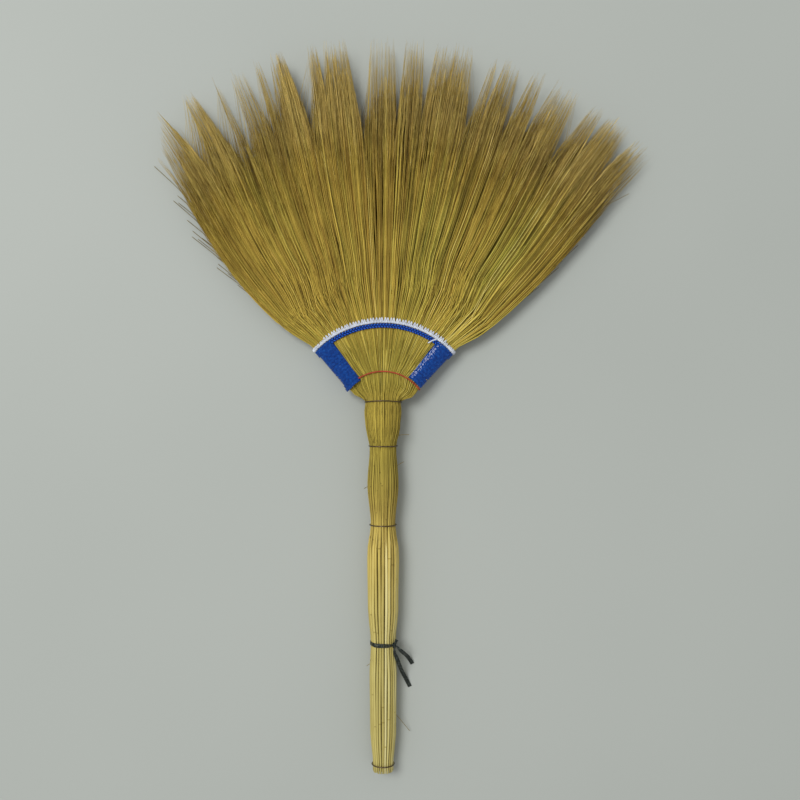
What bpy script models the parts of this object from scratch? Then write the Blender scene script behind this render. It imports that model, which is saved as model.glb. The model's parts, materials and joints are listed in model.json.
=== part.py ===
"""A grass broom lying on its back: a bundle of grass stalks, wired into a handle, that opens into a flat fan.

Cords and straps sewn round the fan hold it flat. Metres, +Z up, +Y from the butt end towards the tips.
"""

import math
import random

import bmesh
import bpy
from mathutils import Matrix, Vector

# Clearance between pieces that touch
GAP = 0.0003

# The bundle: an outer ring of stalks round a core of hanks, which is six round one
OUTER_STALKS = 26
CULM_RADIUS = 0.0020
CORE_RING = 6
CORE_TURN = math.radians(10.893)  # turns the six so that all seven are evenly spaced across
CUT_STEP = 0.0012  # how unevenly the butt ends are cut

# Where each binding grips the handle, from the butt end, and the bundle's radius under it
BUTT_WIRE_Y, BUTT_WAIST = 0.009, 0.0129
TIE_Y, TIE_WAIST = 0.162, 0.0153
MIDDLE_WIRE_Y, MIDDLE_WAIST = 0.311, 0.0156
UPPER_WIRE_Y, UPPER_WAIST = 0.410, 0.0167
NECK_WIRE_Y, NECK_WAIST = 0.466, 0.0218

# How it swells between one binding and the next: (share of the way, radius)
LOWER_SWELL = [(0.27, 0.0164), (0.73, 0.0172)]
GRIP_SWELL = [(0.29, 0.0194), (0.79, 0.0200)]
UPPER_SWELL = [(0.50, 0.0199)]
SHOULDER_SWELL = [(0.40, 0.0219), (0.80, 0.0236)]

# The fan: its rays meet at an apex a little below the neck wire
APEX_BACK = 0.020
RED_RADIUS = 0.0572
BINDING_LENGTH = 0.0543  # from the red cord to the blue band
BLUE_WIDTH = 0.0063
WHITE_WIDTH = 0.0047
SEAM_MARGIN = 0.0055  # past the white edging, where the grass starts to spread
BLUE_INNER = RED_RADIUS + BINDING_LENGTH
BLUE_OUTER = BLUE_INNER + BLUE_WIDTH
WHITE_OUTER = BLUE_OUTER + WHITE_WIDTH
SEAM_END = WHITE_OUTER + SEAM_MARGIN
STRIP_WIDTH = [(RED_RADIUS, 0.0190), (BLUE_INNER, 0.0220)]  # of each edge, inside its side binding
STRIP_COLUMNS = 2
CORE_REACH_ACROSS = 0.83  # share of the fan's half width that the core fills
FAN_GAP = 0.0016  # between the plumes past the seam

# Half angles of the fan, in degrees, at places along its radius
LAST_OPENING = RED_RADIUS - 0.0102
LEFT_EDGE = [(LAST_OPENING, 53.0), (RED_RADIUS, 49.6), (BLUE_OUTER, 44.9), (0.17, 48.2), (0.46, 40.5)]
RIGHT_EDGE = [(LAST_OPENING, 57.5), (RED_RADIUS, 50.8), (BLUE_OUTER, 46.6), (0.17, 50.4), (0.46, 46.0)]

# Half thickness of the fan and height of its middle over the floor, along its radius
HALF_THICKNESS = [
    (0.0, 0.0165),
    (RED_RADIUS, 0.0135),
    (BLUE_INNER, 0.0105),
    (SEAM_END, 0.0105),
    (0.30, 0.0140),
    (0.46, 0.0170),
]
MID_HEIGHT = [
    (0.0, 0.0232),
    (RED_RADIUS, 0.0205),
    (BLUE_INNER, 0.0170),
    (SEAM_END, 0.0165),
    (0.25, 0.0155),
    (0.46, 0.0166),
]
LAYER_SHARE = 0.31  # of the half thickness, for half of one outer layer
EDGE_THINNING = 0.40  # how much the outer layers close up towards the fan's edges
THIN_FROM = 0.60  # share of the half width where they start to

# How far each plume reaches from the apex, left to right
FRONT_REACH = [0.450, 0.468, 0.440, 0.425, 0.468, 0.456, 0.408, 0.424, 0.446, 0.440, 0.458, 0.454, 0.472]
BACK_REACH = [0.425, 0.430, 0.395, 0.430, 0.410, 0.425, 0.436, 0.400, 0.418, 0.430, 0.410, 0.432, 0.450]
CORE_REACH = [0.415, 0.440, 0.425, 0.405, 0.425, 0.435, 0.430]
SPLIT_SHARE = 0.80  # of its reach, where a plume splits into tips
OUTER_TIP_SHARE = 0.93

# Places along the fan's radius where the plumes have a section
FAN_RADII = [RED_RADIUS, BLUE_INNER, SEAM_END, 0.17, 0.28]
# How much of its width an outer plume is flat on its outer side: more past the seam, where the layers are even
CREST_SHARE = [(SEAM_END, 0.5), (0.17, 0.8)]
# Sections where the round neck turns into the flat fan: (share of fan, distance past the wire, fan radius,
# and how far the core hanks are squeezed there)
FIRST_OPENING = RED_RADIUS - 0.0202
OPENING = [
    (0.0, 0.0022, FIRST_OPENING, 0.86),
    (0.42, 0.0040, FIRST_OPENING, 0.72),
    (0.86, 0.0055, LAST_OPENING, 0.74),
]
OUTER_SQUEEZE = 0.4  # how much of that squeeze the outer stalks share

# Bindings
WIRE_RADIUS = 0.0007
WIRE_SIDES = 5
WIRE_RING_STEPS = 20
TWIST_LENGTH, TWIST_TURNS, TWIST_STEPS = 0.011, 1.5, 7
TWIST_ANGLE = math.radians(228)  # round the handle, on the side that faces the floor
RED_CORD_RADIUS = 0.0009
BLUE_THICKNESS, BLUE_STITCHES = 0.0020, 26
WHITE_THICKNESS, TOOTH_PITCH, TOOTH_HEIGHT = 0.0018, 0.0036, 0.0030
PLAIN_STITCHES = 4  # at each end of the white edging, without a tooth
WINDING_TURNS, WINDING_THICKNESS = 12, 0.0008
WINDING_START = RED_RADIUS + 0.0018
WINDING_END = BLUE_INNER - 0.0005
TIE_WIDTH, TIE_THICKNESS = 0.0056, 0.0009
TIE_STEPS = 24
KNOT_ANGLE = math.radians(38)
KNOT_LENGTH, KNOT_WIDTH, KNOT_THICKNESS = 0.0085, 0.0070, 0.0042
TAIL_WIDTH, TAIL_THICKNESS = 0.0050, 0.0007
THREAD_RADIUS, THREAD_LENGTH = 0.0006, 0.0110

SECTION = [(1.0, 0.0), (0.5, 0.866), (-0.5, 0.866), (-1.0, 0.0), (-0.5, -0.866), (0.5, -0.866)]


def clear_scene():
    for obj in list(bpy.data.objects):
        bpy.data.objects.remove(obj, do_unlink=True)


def make_material(name, colour, roughness, metallic=0.0):
    material = bpy.data.materials.new(name)
    material.use_nodes = True
    shader = material.node_tree.nodes["Principled BSDF"]
    shader.inputs["Base Color"].default_value = (*colour, 1.0)
    shader.inputs["Roughness"].default_value = roughness
    shader.inputs["Metallic"].default_value = metallic
    return material


def make_object(name, mesh_data, origin, material, parent):
    """Links a bmesh as an object whose own origin is at the given place, and frees the bmesh."""
    bmesh.ops.recalc_face_normals(mesh_data, faces=mesh_data.faces)
    bmesh.ops.translate(mesh_data, vec=-origin, verts=mesh_data.verts)
    mesh = bpy.data.meshes.new(name)
    mesh_data.to_mesh(mesh)
    mesh_data.free()
    mesh.materials.append(material)
    mesh.shade_smooth()
    mesh.set_sharp_from_angle(angle=math.radians(50))
    obj = bpy.data.objects.new(name, mesh)
    obj.location = origin
    obj.parent = parent
    bpy.context.scene.collection.objects.link(obj)
    return obj


def through(knots, place):
    """The value at a place on a smooth line through (place, value) knots, level at each knot."""
    if place <= knots[0][0]:
        return knots[0][1]
    for (start, first), (end, last) in zip(knots, knots[1:]):
        if place <= end:
            share = (place - start) / (end - start)
            return first + (last - first) * share * share * (3 - 2 * share)
    return knots[-1][1]


# The handle

APEX_Y = NECK_WIRE_Y - APEX_BACK
BUTT_FLARE = 0.0003


def halfway(first, last, share=0.5):
    return first + (last - first) * share


def swelling(start, end, shares):
    return [(halfway(start, end, share), radius) for share, radius in shares]


LOWER_PLACES = swelling(BUTT_WIRE_Y, TIE_Y, LOWER_SWELL)
GRIP_PLACES = swelling(TIE_Y, MIDDLE_WIRE_Y, GRIP_SWELL)
UPPER_PLACES = swelling(MIDDLE_WIRE_Y, UPPER_WIRE_Y, UPPER_SWELL)
SHOULDER_PLACES = swelling(UPPER_WIRE_Y, NECK_WIRE_Y, SHOULDER_SWELL)

# The bundle's radius along the handle. The stalks have a section at each of these places
GIRTH = [
    (0.0, BUTT_WAIST + BUTT_FLARE),
    (BUTT_WIRE_Y, BUTT_WAIST),
    *LOWER_PLACES,
    (TIE_Y, TIE_WAIST),
    *GRIP_PLACES,
    (MIDDLE_WIRE_Y, MIDDLE_WAIST),
    *UPPER_PLACES,
    (UPPER_WIRE_Y, UPPER_WAIST),
    *SHOULDER_PLACES,
    (NECK_WIRE_Y, NECK_WAIST),
]


def bundle_radius(y):
    return through(GIRTH, y)


def axis_height(y):
    """The bundle's axis, on a line that lets the grip and the shoulder both touch the floor."""
    grip_y, grip = GRIP_PLACES[0]
    shoulder_y, shoulder = SHOULDER_PLACES[-1]
    return grip + (shoulder - grip) / (shoulder_y - grip_y) * (y - grip_y)


def stalk_fit(radius):
    """The radius of an outer stalk that just fits beside its neighbours in a bundle of this radius."""
    sine = math.sin(math.pi / OUTER_STALKS)
    return min(CULM_RADIUS, (radius * sine - GAP / 2) / (1 + sine))


def core_fit(radius):
    """The radius of a core hank inside the outer ring."""
    room = radius - 2 * stalk_fit(radius) - GAP
    return room / 3 - GAP / 2


# The fan


def edge_angle(side, radius):
    return math.radians(through(RIGHT_EDGE if side > 0 else LEFT_EDGE, radius))


STRIP_SHARE = 1 - 2 * STRIP_COLUMNS / (OUTER_STALKS // 2)
STRIP_RELAXED = 0.20  # the radius where the plumes are evenly spread again


def ray_angle(across, radius):
    """The angle of a ray at across, -1 to 1 of the outer columns. Near the seam the edge columns fill a strip."""
    side = 1 if across >= 0 else -1
    edge = edge_angle(side, radius)
    even = edge * STRIP_SHARE
    bound = edge - through(STRIP_WIDTH, radius) / max(radius, RED_RADIUS)
    relaxed = through([(SEAM_END, 0.0), (STRIP_RELAXED, 1.0)], radius)
    knee = bound + (even - bound) * relaxed
    share = abs(across)
    if share <= STRIP_SHARE:
        return side * knee * share / STRIP_SHARE
    return side * (knee + (edge - knee) * (share - STRIP_SHARE) / (1 - STRIP_SHARE))


def core_across(place):
    """Turns a core hank's own place, -1 to 1, into a place across the outer columns."""
    side = 1 if place >= 0 else -1
    inner = 1 - 2 / (CORE_RING + 1)
    share = abs(place)
    if share <= inner:
        return side * STRIP_SHARE * share / inner
    return side * (STRIP_SHARE + (CORE_REACH_ACROSS - STRIP_SHARE) * (share - inner) / (1 - inner))


def fan_point(across, radius, lift=0.0):
    angle = ray_angle(across, radius)
    height = through(MID_HEIGHT, radius) + lift
    return Vector((radius * math.sin(angle), APEX_Y + radius * math.cos(angle), height))


def layer_half(radius):
    return through(HALF_THICKNESS, radius) * LAYER_SHARE


def layer_lift(across, radius):
    """How far the middle of an outer layer is from the fan's middle, less towards the fan's edges."""
    lift = through(HALF_THICKNESS, radius) - layer_half(radius)
    thinning = through([(THIN_FROM, 0.0), (1.0, EDGE_THINNING)], abs(across))
    return lift * (1 - thinning)


def core_half(radius):
    return layer_lift(0, radius) - layer_half(radius) - GAP


def side_clearance(boundary, radius):
    """How far a plume stays back from the line between it and the next one."""
    at_strip = abs(abs(boundary) - STRIP_SHARE) < 1e-6
    if at_strip and radius <= SEAM_END:
        return WINDING_THICKNESS / 2 + GAP
    return through([(SEAM_END, GAP / 2), (FAN_RADII[-1], FAN_GAP / 2)], radius)


def fan_cell(low, high, radius):
    """(middle, direction across, half width) of a plume between two lines across the fan."""
    start, end = fan_point(low, radius), fan_point(high, radius)
    direction = (end - start).normalized()
    start += direction * side_clearance(low, radius)
    end -= direction * side_clearance(high, radius)
    return (start + end) / 2, direction, (end - start).length / 2


def handle_cell(distance, angle, y):
    centre = Vector((distance * math.cos(angle), y, axis_height(y) + distance * math.sin(angle)))
    return centre, Vector((-math.sin(angle), 0, math.cos(angle)))


def section_points(centre, direction, along, half_width, half_height, crest):
    """Six points round a stalk. The last two are the corners of its outer side, at crest of its half width."""
    normal = direction.cross(along).normalized()
    corners = SECTION[:4] + [(-crest, SECTION[4][1]), (crest, SECTION[5][1])]
    return [centre + direction * a * half_width + normal * b * half_height for a, b in corners]


def stations(reach):
    """(share of fan, y on the handle, radius on the fan, squeeze) of every section, from the butt end to the split."""
    found = [(0.0, y, RED_RADIUS, 1.0) for y, _ in GIRTH]
    found += [(share, NECK_WIRE_Y + past, radius, squeeze) for share, past, radius, squeeze in OPENING]
    found += [(1.0, NECK_WIRE_Y, radius, 1.0) for radius in FAN_RADII]
    return found + [(1.0, NECK_WIRE_Y, reach * SPLIT_SHARE, 1.0)]


def stalk_sections(handle_at, fan_at, reach, cut, squeezed, crest_share):
    """The six-sided sections of one stalk, which is round in the handle and flat in the fan.

    handle_at(y) and fan_at(radius) each give (centre, direction across, half width, half height).
    crest_share is how wide its outer side is, along the fan's radius.
    """
    cells = []
    for share, y, radius, squeeze in stations(reach):
        hand, fan = handle_at(y), fan_at(radius)
        centre = hand[0].lerp(fan[0], share)
        direction = hand[1].lerp(fan[1], share).normalized()
        size = [(a + (b - a) * share) * (1 - (1 - squeeze) * squeezed) for a, b in zip(hand[2:], fan[2:])]
        cells.append((centre, direction, *size, through(crest_share, radius)))
    cells[0][0].y += cut
    sections = []
    for number, (centre, direction, half_width, half_height, crest) in enumerate(cells):
        before, after = cells[max(number - 1, 0)][0], cells[min(number + 1, len(cells) - 1)][0]
        along = (after - before).normalized()
        if number == 0:
            along = Vector((0, 1, 0))
        sections.append(section_points(centre, direction, along, half_width, half_height, crest))
    return sections


def skin(mesh_data, first, second):
    for number in range(len(first)):
        after = (number + 1) % len(first)
        mesh_data.faces.new((first[number], first[after], second[after], second[number]))


def grow_tip(mesh_data, base, middle_points, end):
    """One tip of a plume: from a loop of the last section, through a smaller loop, to a point."""
    middle = [mesh_data.verts.new(point) for point in middle_points]
    skin(mesh_data, base, middle)
    point = mesh_data.verts.new(end)
    for number in range(len(middle)):
        mesh_data.faces.new((middle[number], middle[(number + 1) % len(middle)], point))


def grow_plume(mesh_data, last, reach, jitter):
    """Splits a plume's last section into three tips, the middle one the longest."""
    centre = sum((vert.co for vert in last), Vector()) / len(last)
    apex = Vector((0, APEX_Y, centre.z))
    groups = [(last[0], last[1], last[5]), (last[1], last[2], last[4], last[5]), (last[2], last[3], last[4])]
    shares = [OUTER_TIP_SHARE + jitter[0], 1.0, OUTER_TIP_SHARE + jitter[1]]
    for base, share in zip(groups, shares):
        root = sum((vert.co for vert in base), Vector()) / len(base)
        radius = (root - apex).length
        side = 1 if root.x > 0 else -1
        turned = edge_angle(side, reach * share) / edge_angle(side, radius)
        angle = math.atan2(root.x, root.y - APEX_Y) * turned
        height = through(MID_HEIGHT, reach) + (root.z - through(MID_HEIGHT, radius)) * 0.9
        tip = Vector((reach * share * math.sin(angle), APEX_Y + reach * share * math.cos(angle), height))
        shift = (tip - root) * 0.55
        middle = [root + (vert.co - root) * 0.62 + shift for vert in base]
        grow_tip(mesh_data, list(base), middle, tip)


def build_stalk(name, sections, reach, jitter, material, parent):
    mesh_data = bmesh.new()
    rings = [[mesh_data.verts.new(point) for point in section] for section in sections]
    mesh_data.faces.new(reversed(rings[0]))
    for first, second in zip(rings, rings[1:]):
        skin(mesh_data, first, second)
    grow_plume(mesh_data, rings[-1], reach, jitter)
    origin = sum(sections[0], Vector()) / len(sections[0])
    return make_object(name, mesh_data, origin, material, parent)


def build_outer_stalks(material, parent):
    """The ring of single stalks: half of them make the front layer of the fan, half the back."""
    chance = random.Random(7)
    columns = OUTER_STALKS // 2
    width = 2 / columns
    for number in range(OUTER_STALKS):
        angle = (number + 0.5) * 2 * math.pi / OUTER_STALKS
        face = 1 if number < columns else -1
        column = number if face > 0 else OUTER_STALKS - 1 - number
        across = 1 - (column + 0.5) * width

        def handle_at(y, angle=angle):
            radius = stalk_fit(bundle_radius(y))
            centre, direction = handle_cell(bundle_radius(y) - radius, angle, y)
            return centre, direction, radius, radius

        def fan_at(radius, across=across, face=face):
            middle, direction, half = fan_cell(across - width / 2, across + width / 2, radius)
            lift = layer_lift(across, radius) * face
            return middle + Vector((0, 0, lift)), -direction * face, half, layer_half(radius)

        place = columns - 1 - column
        reaches = FRONT_REACH if face > 0 else BACK_REACH
        reach = reaches[int((across + 1) / 2 * len(reaches))]
        jitter = [chance.uniform(-0.05, 0.03) for _ in range(2)]
        cut = chance.uniform(0.2, 1.0) * CUT_STEP
        label = f"grass_stalk_{'front' if face > 0 else 'back'}_{place + 1:02d}"
        sections = stalk_sections(handle_at, fan_at, reach, cut, OUTER_SQUEEZE, CREST_SHARE)
        build_stalk(label, sections, reach, jitter, material, parent)


def build_core_hanks(material, parent):
    """Seven hanks inside the ring. In the fan they lie side by side as its middle layer."""
    chance = random.Random(11)
    turn = 2 * math.pi / CORE_RING
    places = [(0.0, 0.0)] + [(2.0, CORE_TURN + number * turn) for number in range(CORE_RING)]
    places.sort(key=lambda place: place[0] * math.cos(place[1]))
    width = 2 / (CORE_RING + 1)
    for number, (distance, angle) in enumerate(places):
        place = -1 + (number + 0.5) * width

        def handle_at(y, distance=distance, angle=angle):
            radius = core_fit(bundle_radius(y))
            spread = distance * (radius + GAP / 2)
            centre = handle_cell(spread, angle, y)[0]
            return centre, Vector((1, 0, 0)), radius, radius

        def fan_at(radius, place=place):
            low, high = core_across(place - width / 2), core_across(place + width / 2)
            return *fan_cell(low, high, radius), core_half(radius)

        reach = CORE_REACH[number]
        jitter = [chance.uniform(-0.05, 0.03) for _ in range(2)]
        sections = stalk_sections(handle_at, fan_at, reach, 0.0, 1.0, CREST_SHARE[:1])
        build_stalk(f"core_hank_{number + 1}", sections, reach, jitter, material, parent)


# Bindings


def sweep(mesh_data, path, widths, sides, wide, closed=False):
    """Sweeps a section along a path. wide(number, along) gives the direction of its width at each point.

    sides is a list of (across, out) shares, and widths is (half width, half height) or a list of them.
    """
    count = len(path)
    rings = []
    for number, point in enumerate(path):
        before = path[number - 1] if closed or number else point
        after = path[(number + 1) % count] if closed or number < count - 1 else point
        along = (after - before).normalized()
        across = wide(number, along)
        across = (across - along * across.dot(along)).normalized()
        out = across.cross(along)
        half_width, half_height = widths[number] if isinstance(widths, list) else widths
        rings.append([mesh_data.verts.new(point + across * a * half_width + out * b * half_height) for a, b in sides])
    for first, second in zip(rings, rings[1:]):
        skin(mesh_data, first, second)
    if closed:
        skin(mesh_data, rings[-1], rings[0])
    else:
        mesh_data.faces.new(reversed(rings[0]))
        mesh_data.faces.new(rings[-1])
    return rings


def round_sides(count):
    return [(math.cos(2 * math.pi * n / count), math.sin(2 * math.pi * n / count)) for n in range(count)]


FLAT_SIDES = [(1, 1), (-1, 1), (-1, -1), (1, -1)]
OUT_SIDE = FLAT_SIDES.index((-1, -1))  # the side that looks away from the grass
RAY_SIDE = FLAT_SIDES.index((1, -1))  # the side that looks towards the tips


def build_wire(name, y, material, parent):
    """One soft wire round the bundle: its two ends are twisted together and pressed along the handle."""
    radius = bundle_radius(y) + GAP + WIRE_RADIUS
    centre = Vector((0, y, axis_height(y)))
    outward = Vector((math.cos(TWIST_ANGLE), 0, math.sin(TWIST_ANGLE)))
    around = Vector((-math.sin(TWIST_ANGLE), 0, math.cos(TWIST_ANGLE)))
    pitch = WIRE_RADIUS + GAP / 2
    lean = -1 if y + TWIST_LENGTH > NECK_WIRE_Y else 1

    def strand(start):
        """One end of the wire, wound round the twist's own axis, from the ring outwards."""
        points = []
        for number in range(TWIST_STEPS + 1):
            share = number / TWIST_STEPS
            angle = start + share * TWIST_TURNS * 2 * math.pi
            offset = around * math.cos(angle) + outward * math.sin(angle)
            seat = y + lean * (2 * WIRE_RADIUS + share * TWIST_LENGTH)
            points.append(handle_surface(seat, TWIST_ANGLE, 2 * (pitch + GAP)) + offset * pitch)
        return points

    opening = 2.2 * pitch / radius
    ring = []
    for number in range(WIRE_RING_STEPS + 1):
        angle = TWIST_ANGLE + opening + number * (2 * math.pi - 2 * opening) / WIRE_RING_STEPS
        ring.append(centre + Vector((math.cos(angle), 0, math.sin(angle))) * radius)
    path = strand(0.0)[::-1] + ring + strand(math.pi)

    across = outward.copy()

    def carried(number, along):
        """The last direction carried along, so that the tube never spins."""
        across.xyz = (across - along * across.dot(along)).normalized()
        return across

    mesh_data = bmesh.new()
    sweep(mesh_data, path, (WIRE_RADIUS, WIRE_RADIUS), round_sides(WIRE_SIDES), carried)
    return make_object(name, mesh_data, centre, material, parent)


def outline_lift(across, radius):
    """The height of the outer layer's crests over the fan's middle, at its thickest near here."""
    nearby = max(abs(across) - 2 / OUTER_STALKS, 0)
    return layer_lift(nearby, radius) + layer_half(radius) * SECTION[1][1]


def fan_outline(radius, clearance, steps):
    """A closed loop round the fan at one radius: along the front, round an edge, along the back and round."""
    corner = THIN_FROM * 0.5 + 0.5
    loop = []
    for face in (1, -1):
        for number in range(steps + 1):
            across = face * (2 * number / steps - 1) * 0.985
            lift = outline_lift(across, radius) + clearance
            loop.append(fan_point(across, radius, face * lift))
        end = fan_point(face, radius)
        outward = (end - fan_point(face * corner, radius)).normalized()
        for turn in (0.55, 0.0, -0.55):
            lift = (outline_lift(1, radius) + clearance) * turn * face
            reach = clearance + (0.0004 if turn else 0.0012)
            loop.append(end + outward * reach + Vector((0, 0, lift)))
    return loop


def ray_direction(point):
    ray = Vector((point.x, point.y - APEX_Y, 0))
    return ray.normalized()


def build_red_cord(material, parent):
    path = fan_outline(RED_RADIUS, GAP + RED_CORD_RADIUS, 14)
    mesh_data = bmesh.new()
    section = (RED_CORD_RADIUS, RED_CORD_RADIUS)
    sweep(mesh_data, path, section, round_sides(5), lambda n, along: ray_direction(path[n]), closed=True)
    return make_object("red_neck_cord", mesh_data, fan_point(0, RED_RADIUS), material, parent)


def crest_faces(mesh_data, rings, corner):
    """The faces that lie between one corner of the section and the next, all the way round."""
    wanted = []
    for first, second in zip(rings, rings[1:] + rings[:1]):
        verts = {first[corner], first[(corner + 1) % len(first)], second[corner], second[(corner + 1) % len(first)]}
        wanted += [face for face in first[corner].link_faces if set(face.verts) == verts]
    return wanted


def build_blue_band(material, parent):
    """The blue cord of the seam, a row of chain stitches, each raised a little in its middle."""
    radius = (BLUE_INNER + BLUE_OUTER) / 2
    half_width = (BLUE_OUTER - BLUE_INNER) / 2 - GAP / 2
    path = fan_outline(radius, GAP + BLUE_THICKNESS / 2, BLUE_STITCHES)
    mesh_data = bmesh.new()
    section = (half_width, BLUE_THICKNESS / 2)
    rings = sweep(mesh_data, path, section, FLAT_SIDES, lambda n, along: ray_direction(path[n]), closed=True)
    bmesh.ops.recalc_face_normals(mesh_data, faces=mesh_data.faces)
    outer = crest_faces(mesh_data, rings, OUT_SIDE)
    bmesh.ops.poke(mesh_data, faces=outer, offset=BLUE_THICKNESS * 0.25)
    return make_object("blue_seam_band", mesh_data, fan_point(0, radius), material, parent)


def build_white_edging(material, parent):
    """The white edging: a cord with a pointed loop of thread past every hank, like a row of teeth."""
    radius = (BLUE_OUTER + WHITE_OUTER) / 2
    half_width = (WHITE_OUTER - BLUE_OUTER) / 2 - GAP / 2
    steps = round(2 * edge_angle(1, radius) * radius / TOOTH_PITCH)
    path = fan_outline(radius, GAP + WHITE_THICKNESS / 2, steps)
    mesh_data = bmesh.new()
    section = (half_width, WHITE_THICKNESS / 2)
    rings = sweep(mesh_data, path, section, FLAT_SIDES, lambda n, along: ray_direction(path[n]), closed=True)
    bmesh.ops.recalc_face_normals(mesh_data, faces=mesh_data.faces)
    teeth = crest_faces(mesh_data, rings, RAY_SIDE)
    per_face = steps + 4
    last = steps - PLAIN_STITCHES
    teeth = [face for number, face in enumerate(teeth) if PLAIN_STITCHES <= number % per_face < last]
    bmesh.ops.poke(mesh_data, faces=teeth, offset=TOOTH_HEIGHT)
    return make_object("white_seam_edging", mesh_data, fan_point(0, radius), material, parent)


def strip_corners(side, share):
    """The loop round one bound edge of the fan, at a share of the way from the red cord to the blue band."""
    columns = OUTER_STALKS // 2
    stand_off = GAP + WINDING_THICKNESS / 2

    def between(across, lift_at=None):
        """A place on the straight line along the strip, at a height over the fan's middle."""
        ends = [fan_point(side * across, radius) for radius in (RED_RADIUS, BLUE_INNER)]
        point = ends[0].lerp(ends[1], share)
        if lift_at:
            point.z += halfway(lift_at(RED_RADIUS), lift_at(BLUE_INNER), share)
        return point

    def crest(radius):
        return outline_lift(1 - 2.5 / columns, radius)

    def edge_crest(radius):
        return outline_lift(1, radius)

    def edge_middle(radius):
        return layer_lift(1 - 1 / columns, radius)

    outward = (between(1.0) - between(STRIP_SHARE)).normalized()
    up = Vector((0, 0, stand_off))
    run = [
        between(STRIP_SHARE, lambda radius: crest(radius) * 0.80),
        between(STRIP_SHARE + 0.035, crest) + up,
        between(0.87, crest) + up,
        between(0.975, edge_crest) + up,
        between(1.0, edge_middle) + outward * (stand_off + 0.0002),
    ]
    middle = [between(across) for across in (STRIP_SHARE, STRIP_SHARE + 0.035, 0.87, 0.975, 1.0)]
    under = [Vector((point.x, point.y, 2 * line.z - point.z)) for point, line in zip(run, middle)]
    return run + under[::-1]


def build_side_binding(name, side, material, parent):
    """A strap wound round one edge of the fan, turn beside turn, from the red cord out to the blue band.

    It lies straight across the front and moves on by its own width at the back.
    """
    per_turn = len(strip_corners(side, 0.0))
    front = per_turn // 2
    pitch = (WINDING_END - WINDING_START) / WINDING_TURNS
    length = BLUE_INNER - RED_RADIUS
    path = []
    for number in range((WINDING_TURNS - 1) * per_turn + front):
        turn, corner = divmod(number, per_turn)
        advance = max(corner - front + 1, 0) / (per_turn - front + 1)
        radius = WINDING_START + pitch * (0.5 + turn + advance)
        path.append(strip_corners(side, (radius - RED_RADIUS) / length)[corner])
    edge = fan_point(side, BLUE_INNER) - fan_point(side, RED_RADIUS)
    mesh_data = bmesh.new()
    section = (pitch / 2 - GAP, WINDING_THICKNESS / 2)
    sweep(mesh_data, path, section, FLAT_SIDES, lambda n, along: edge)
    return make_object(name, mesh_data, fan_point(side, BLUE_INNER), material, parent)


def handle_surface(y, angle, out):
    """A point over the handle's surface, at an angle round it."""
    distance = bundle_radius(y) + out
    return Vector((distance * math.cos(angle), y, axis_height(y) + distance * math.sin(angle)))


def build_tie(material, parent):
    """The strap tied round the grip: a band, and the knot where its two ends cross."""
    out = GAP + TIE_THICKNESS / 2
    path = [handle_surface(TIE_Y, 2 * math.pi * n / TIE_STEPS, out) for n in range(TIE_STEPS)]
    mesh_data = bmesh.new()
    section = (TIE_WIDTH / 2, TIE_THICKNESS / 2)
    sweep(mesh_data, path, section, FLAT_SIDES, lambda n, along: Vector((0, 1, 0)), closed=True)
    centre = Vector((0, TIE_Y, axis_height(TIE_Y)))
    band = make_object("tie_strap", mesh_data, centre, material, parent)
    knot_data = bmesh.new()
    bmesh.ops.create_uvsphere(knot_data, u_segments=8, v_segments=5, radius=0.5)
    bmesh.ops.scale(knot_data, vec=(KNOT_THICKNESS, KNOT_WIDTH, KNOT_LENGTH), verts=knot_data.verts)
    turn = Matrix.Rotation(-KNOT_ANGLE, 4, "Y")
    bmesh.ops.rotate(knot_data, matrix=turn, verts=knot_data.verts)
    seat = handle_surface(TIE_Y, KNOT_ANGLE, KNOT_THICKNESS / 2 + GAP + TIE_THICKNESS * 0.3)
    bmesh.ops.translate(knot_data, vec=seat, verts=knot_data.verts)
    knot = make_object("knot_shape", knot_data, seat, material, parent)
    knot.hide_render = True
    knot.display_type = "WIRE"
    union = band.modifiers.new("knot", "BOOLEAN")
    union.operation = "UNION"
    union.object = knot
    return band


def smooth_route(points, step):
    """Evenly spaced points on a smooth curve through the route's own points."""
    padded = [points[0] * 2 - points[1], *points, points[-1] * 2 - points[-2]]
    found = []
    for a, b, c, d in zip(padded, padded[1:], padded[2:], padded[3:]):
        count = max(1, round((c - b).length / step))
        for number in range(count):
            t = number / count
            found.append((b * 2 + (c - a) * t + (a * 2 - b * 5 + c * 4 - d) * t * t + (b * 3 - a - c * 3 + d) * t**3) / 2)
    return found + [points[-1]]


def tail_routes():
    """The two free ends of the tie, from the knot out and down to the floor beside the handle."""
    knot = handle_surface(TIE_Y, KNOT_ANGLE, GAP + KNOT_THICKNESS / 2)
    floor = TAIL_THICKNESS / 2 + GAP
    out = KNOT_THICKNESS / 2 + GAP * 2 + TAIL_THICKNESS / 2
    short = [
        knot + Vector((out, -0.0010, 0.0012)),
        knot + Vector((0.0065, -0.0050, 0.0012)),
        knot + Vector((0.0110, -0.0105, -0.0045)),
        Vector((knot.x + 0.0155, TIE_Y - 0.0175, 0.0130)),
        Vector((knot.x + 0.0195, TIE_Y - 0.0245, 0.0050)),
        Vector((knot.x + 0.0230, TIE_Y - 0.0310, floor + 0.0012)),
    ]
    long = [
        knot + Vector((0.0006, -KNOT_WIDTH / 2 - GAP * 2, -0.0010)),
        handle_surface(TIE_Y - 0.0100, KNOT_ANGLE * 0.95, 0.0026),
        handle_surface(TIE_Y - 0.0210, KNOT_ANGLE * 0.64, 0.0042),
        Vector((knot.x + 0.0096, TIE_Y - 0.0370, 0.0125)),
        Vector((knot.x + 0.0146, TIE_Y - 0.0490, 0.0040)),
        Vector((knot.x + 0.0200, TIE_Y - 0.0605, floor)),
    ]
    return {"tie_tail_short": short, "tie_tail_long": long}


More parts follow.
